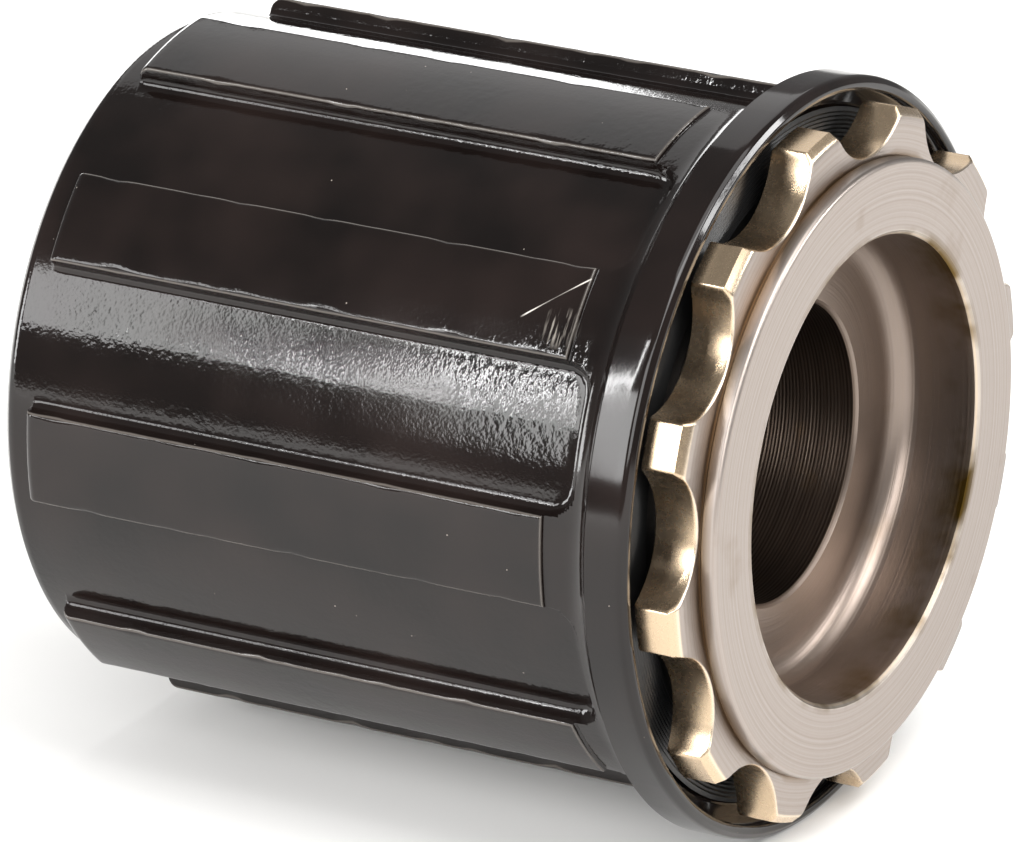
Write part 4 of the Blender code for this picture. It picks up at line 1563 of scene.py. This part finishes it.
@dataclass(frozen=True)
class SoftBox:
    """A rectangular soft box.

    Attributes:
        name: Name of the light.
        place: Where it stands, in millimetres from the part's middle.
        size: Its width and height, in millimetres.
        brightness: How bright its face looks, where white paper under the studio's light is 1.
        roll_degrees: How far it is turned in its own plane.
    """

    name: str
    place: Place
    size: tuple[float, float]
    brightness: float
    roll_degrees: float = 0.0

    def build(self) -> None:
        """Adds the light, facing the part."""
        data = bpy.data.lights.new(self.name, "AREA")
        data.shape = "RECTANGLE"
        data.size = self.size[0] * MM
        data.size_y = self.size[1] * MM
        data.energy = self.brightness * math.pi * data.size * data.size_y
        light = bpy.data.objects.new(self.name, data)
        bpy.context.scene.collection.objects.link(light)
        light.location = Vector(self.place) * MM
        facing = Vector(self.place).to_track_quat("Z", "Y").to_matrix()
        roll = Matrix.Rotation(math.radians(self.roll_degrees), 3, "Z")
        light.rotation_euler = (facing @ roll).to_euler()


@dataclass
class Studio:
    """Camera at the photographed angle, soft boxes and a pale floor. Lengths are in millimetres.

    The barrel mirrors only what stands towards the lock ring end, so the boxes on that side draw its
    bright stripes, and the key box on the hub side lights the floor and the plated core alone.
    """

    azimuth_degrees: float = 30.422
    elevation_degrees: float = 21.169
    roll_degrees: float = -0.836
    distance: float = 447.0
    aim: Place = (3.238, -6.162, 1.689)
    lens: float = 329.4
    sensor_width: float = 36.0
    clip_start: float = 10.0
    floor_size: float = 3000.0
    floor_colour: str = "#f4f3f1"
    floor_roughness: float = 0.9
    world_colour: str = "#ffffff"
    world_strength: float = 0.28
    boxes: tuple[SoftBox, ...] = (
        SoftBox("key_box", (330.0, -120.0, 420.0), (320.0, 320.0), 6.0),
        SoftBox("hub_end_box", (425.0, 270.0, 224.0), (280.0, 62.0), 20.0),
        SoftBox("top_box", (160.0, 0.0, 520.0), (480.0, 480.0), 3.0),
        SoftBox("front_fill_box", (230.0, -430.0, 250.0), (320.0, 280.0), 5.5),
        SoftBox("back_box", (-322.0, 350.0, 20.0), (260.0, 240.0), 4.8),
        SoftBox("back_top_box", (-190.0, 240.0, 260.0), (260.0, 200.0), 1.0),
        SoftBox("front_left_box", (-265.0, -320.0, 168.0), (106.0, 138.0), 9.5, 15.0),
        SoftBox("front_right_box", (-122.0, -346.0, 128.0), (110.0, 164.0), 10.0, 10.0),
        SoftBox("collar_strip", (-173.0, -308.0, 206.0), (5.0, 200.0), 60.0),
        SoftBox("left_box", (-400.0, -240.0, 70.0), (100.0, 160.0), 14.0),
    )

    def place_camera(self) -> None:
        """Adds the camera and makes it the scene's camera."""
        data = bpy.data.cameras.new("photo_camera")
        data.sensor_fit = "HORIZONTAL"
        data.sensor_width = self.sensor_width
        data.lens = self.lens
        data.clip_start = self.clip_start * MM
        camera = bpy.data.objects.new("photo_camera", data)
        bpy.context.scene.collection.objects.link(camera)
        tilt = math.radians(90.0 - self.elevation_degrees)
        upright = Euler((tilt, 0.0, math.radians(self.azimuth_degrees))).to_matrix()
        roll = Matrix.Rotation(math.radians(self.roll_degrees), 3, "Z")
        back = upright @ Vector((0.0, 0.0, self.distance))
        place = Matrix.Translation((Vector(self.aim) + back) * MM)
        camera.matrix_world = place @ (upright @ roll).to_4x4()
        bpy.context.scene.camera = camera

    def lay_floor(self) -> None:
        """Adds the pale floor under the part."""
        select_only()
        height = float(CAD_BOX[0][2])
        bpy.ops.mesh.primitive_plane_add(size=self.floor_size * MM, location=(0.0, 0.0, height))
        floor = bpy.context.object
        floor.name = "floor"
        material, _, shader = start_material("pale_floor")
        set_inputs(shader, {"Base Color": hex_colour(self.floor_colour), "Roughness": self.floor_roughness})
        set_inputs(shader, {"Specular IOR Level": 0.0})
        floor.data.materials.append(material)

    def light(self) -> None:
        """Sets the dim even surroundings and the soft boxes."""
        world = bpy.data.worlds.new("dim_studio")
        bpy.context.scene.world = world
        world.use_nodes = True
        background = world.node_tree.nodes["Background"]
        set_inputs(background, {"Color": hex_colour(self.world_colour), "Strength": self.world_strength})
        for box in self.boxes:
            box.build()

    def build(self) -> None:
        """Sets up the whole stage."""
        self.place_camera()
        self.lay_floor()
        self.light()
        bpy.context.scene.view_settings.view_transform = "Standard"


@dataclass
class CarriedNodes:
    """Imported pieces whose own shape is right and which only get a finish."""

    steel_names: tuple[str, ...] = ("bearing_shim", "pawl_1", "pawl_2", "pawl_spring_1", "pawl_spring_2")
    ball_names: tuple[str, ...] = ("inboard_ball_", "outboard_ball_")

    def build(self, steel: Material, ball: Material) -> None:
        """Dresses every node that is carried over.

        Args:
            steel: Finish of the clutch pieces and the shim.
            ball: Finish of the bearing balls.
        """
        for name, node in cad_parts.items():
            is_ball = name.startswith(self.ball_names)
            if is_ball or name in self.steel_names:
                node.data.materials.clear()
                node.data.materials.append(ball if is_ball else steel)


def main() -> None:
    """Builds every piece in order and reports it."""
    logging.basicConfig(level=logging.INFO, format="%(name)s: %(message)s")
    steel = GroundSteel().make()
    pieces = [
        SplinedShell().build(BlackEnamel().make()),
        InnerBody().build(NickelPlate().make()),
        BearingCup().build(steel),
        *Seals().build(SealRubber().make()),
    ]
    for piece in pieces:
        LOG.info("%s has %d faces", piece.name, len(piece.data.polygons))
    CarriedNodes().build(steel, BallSteel().make())
    Studio().build()


if __name__ == "__main__":
    main()
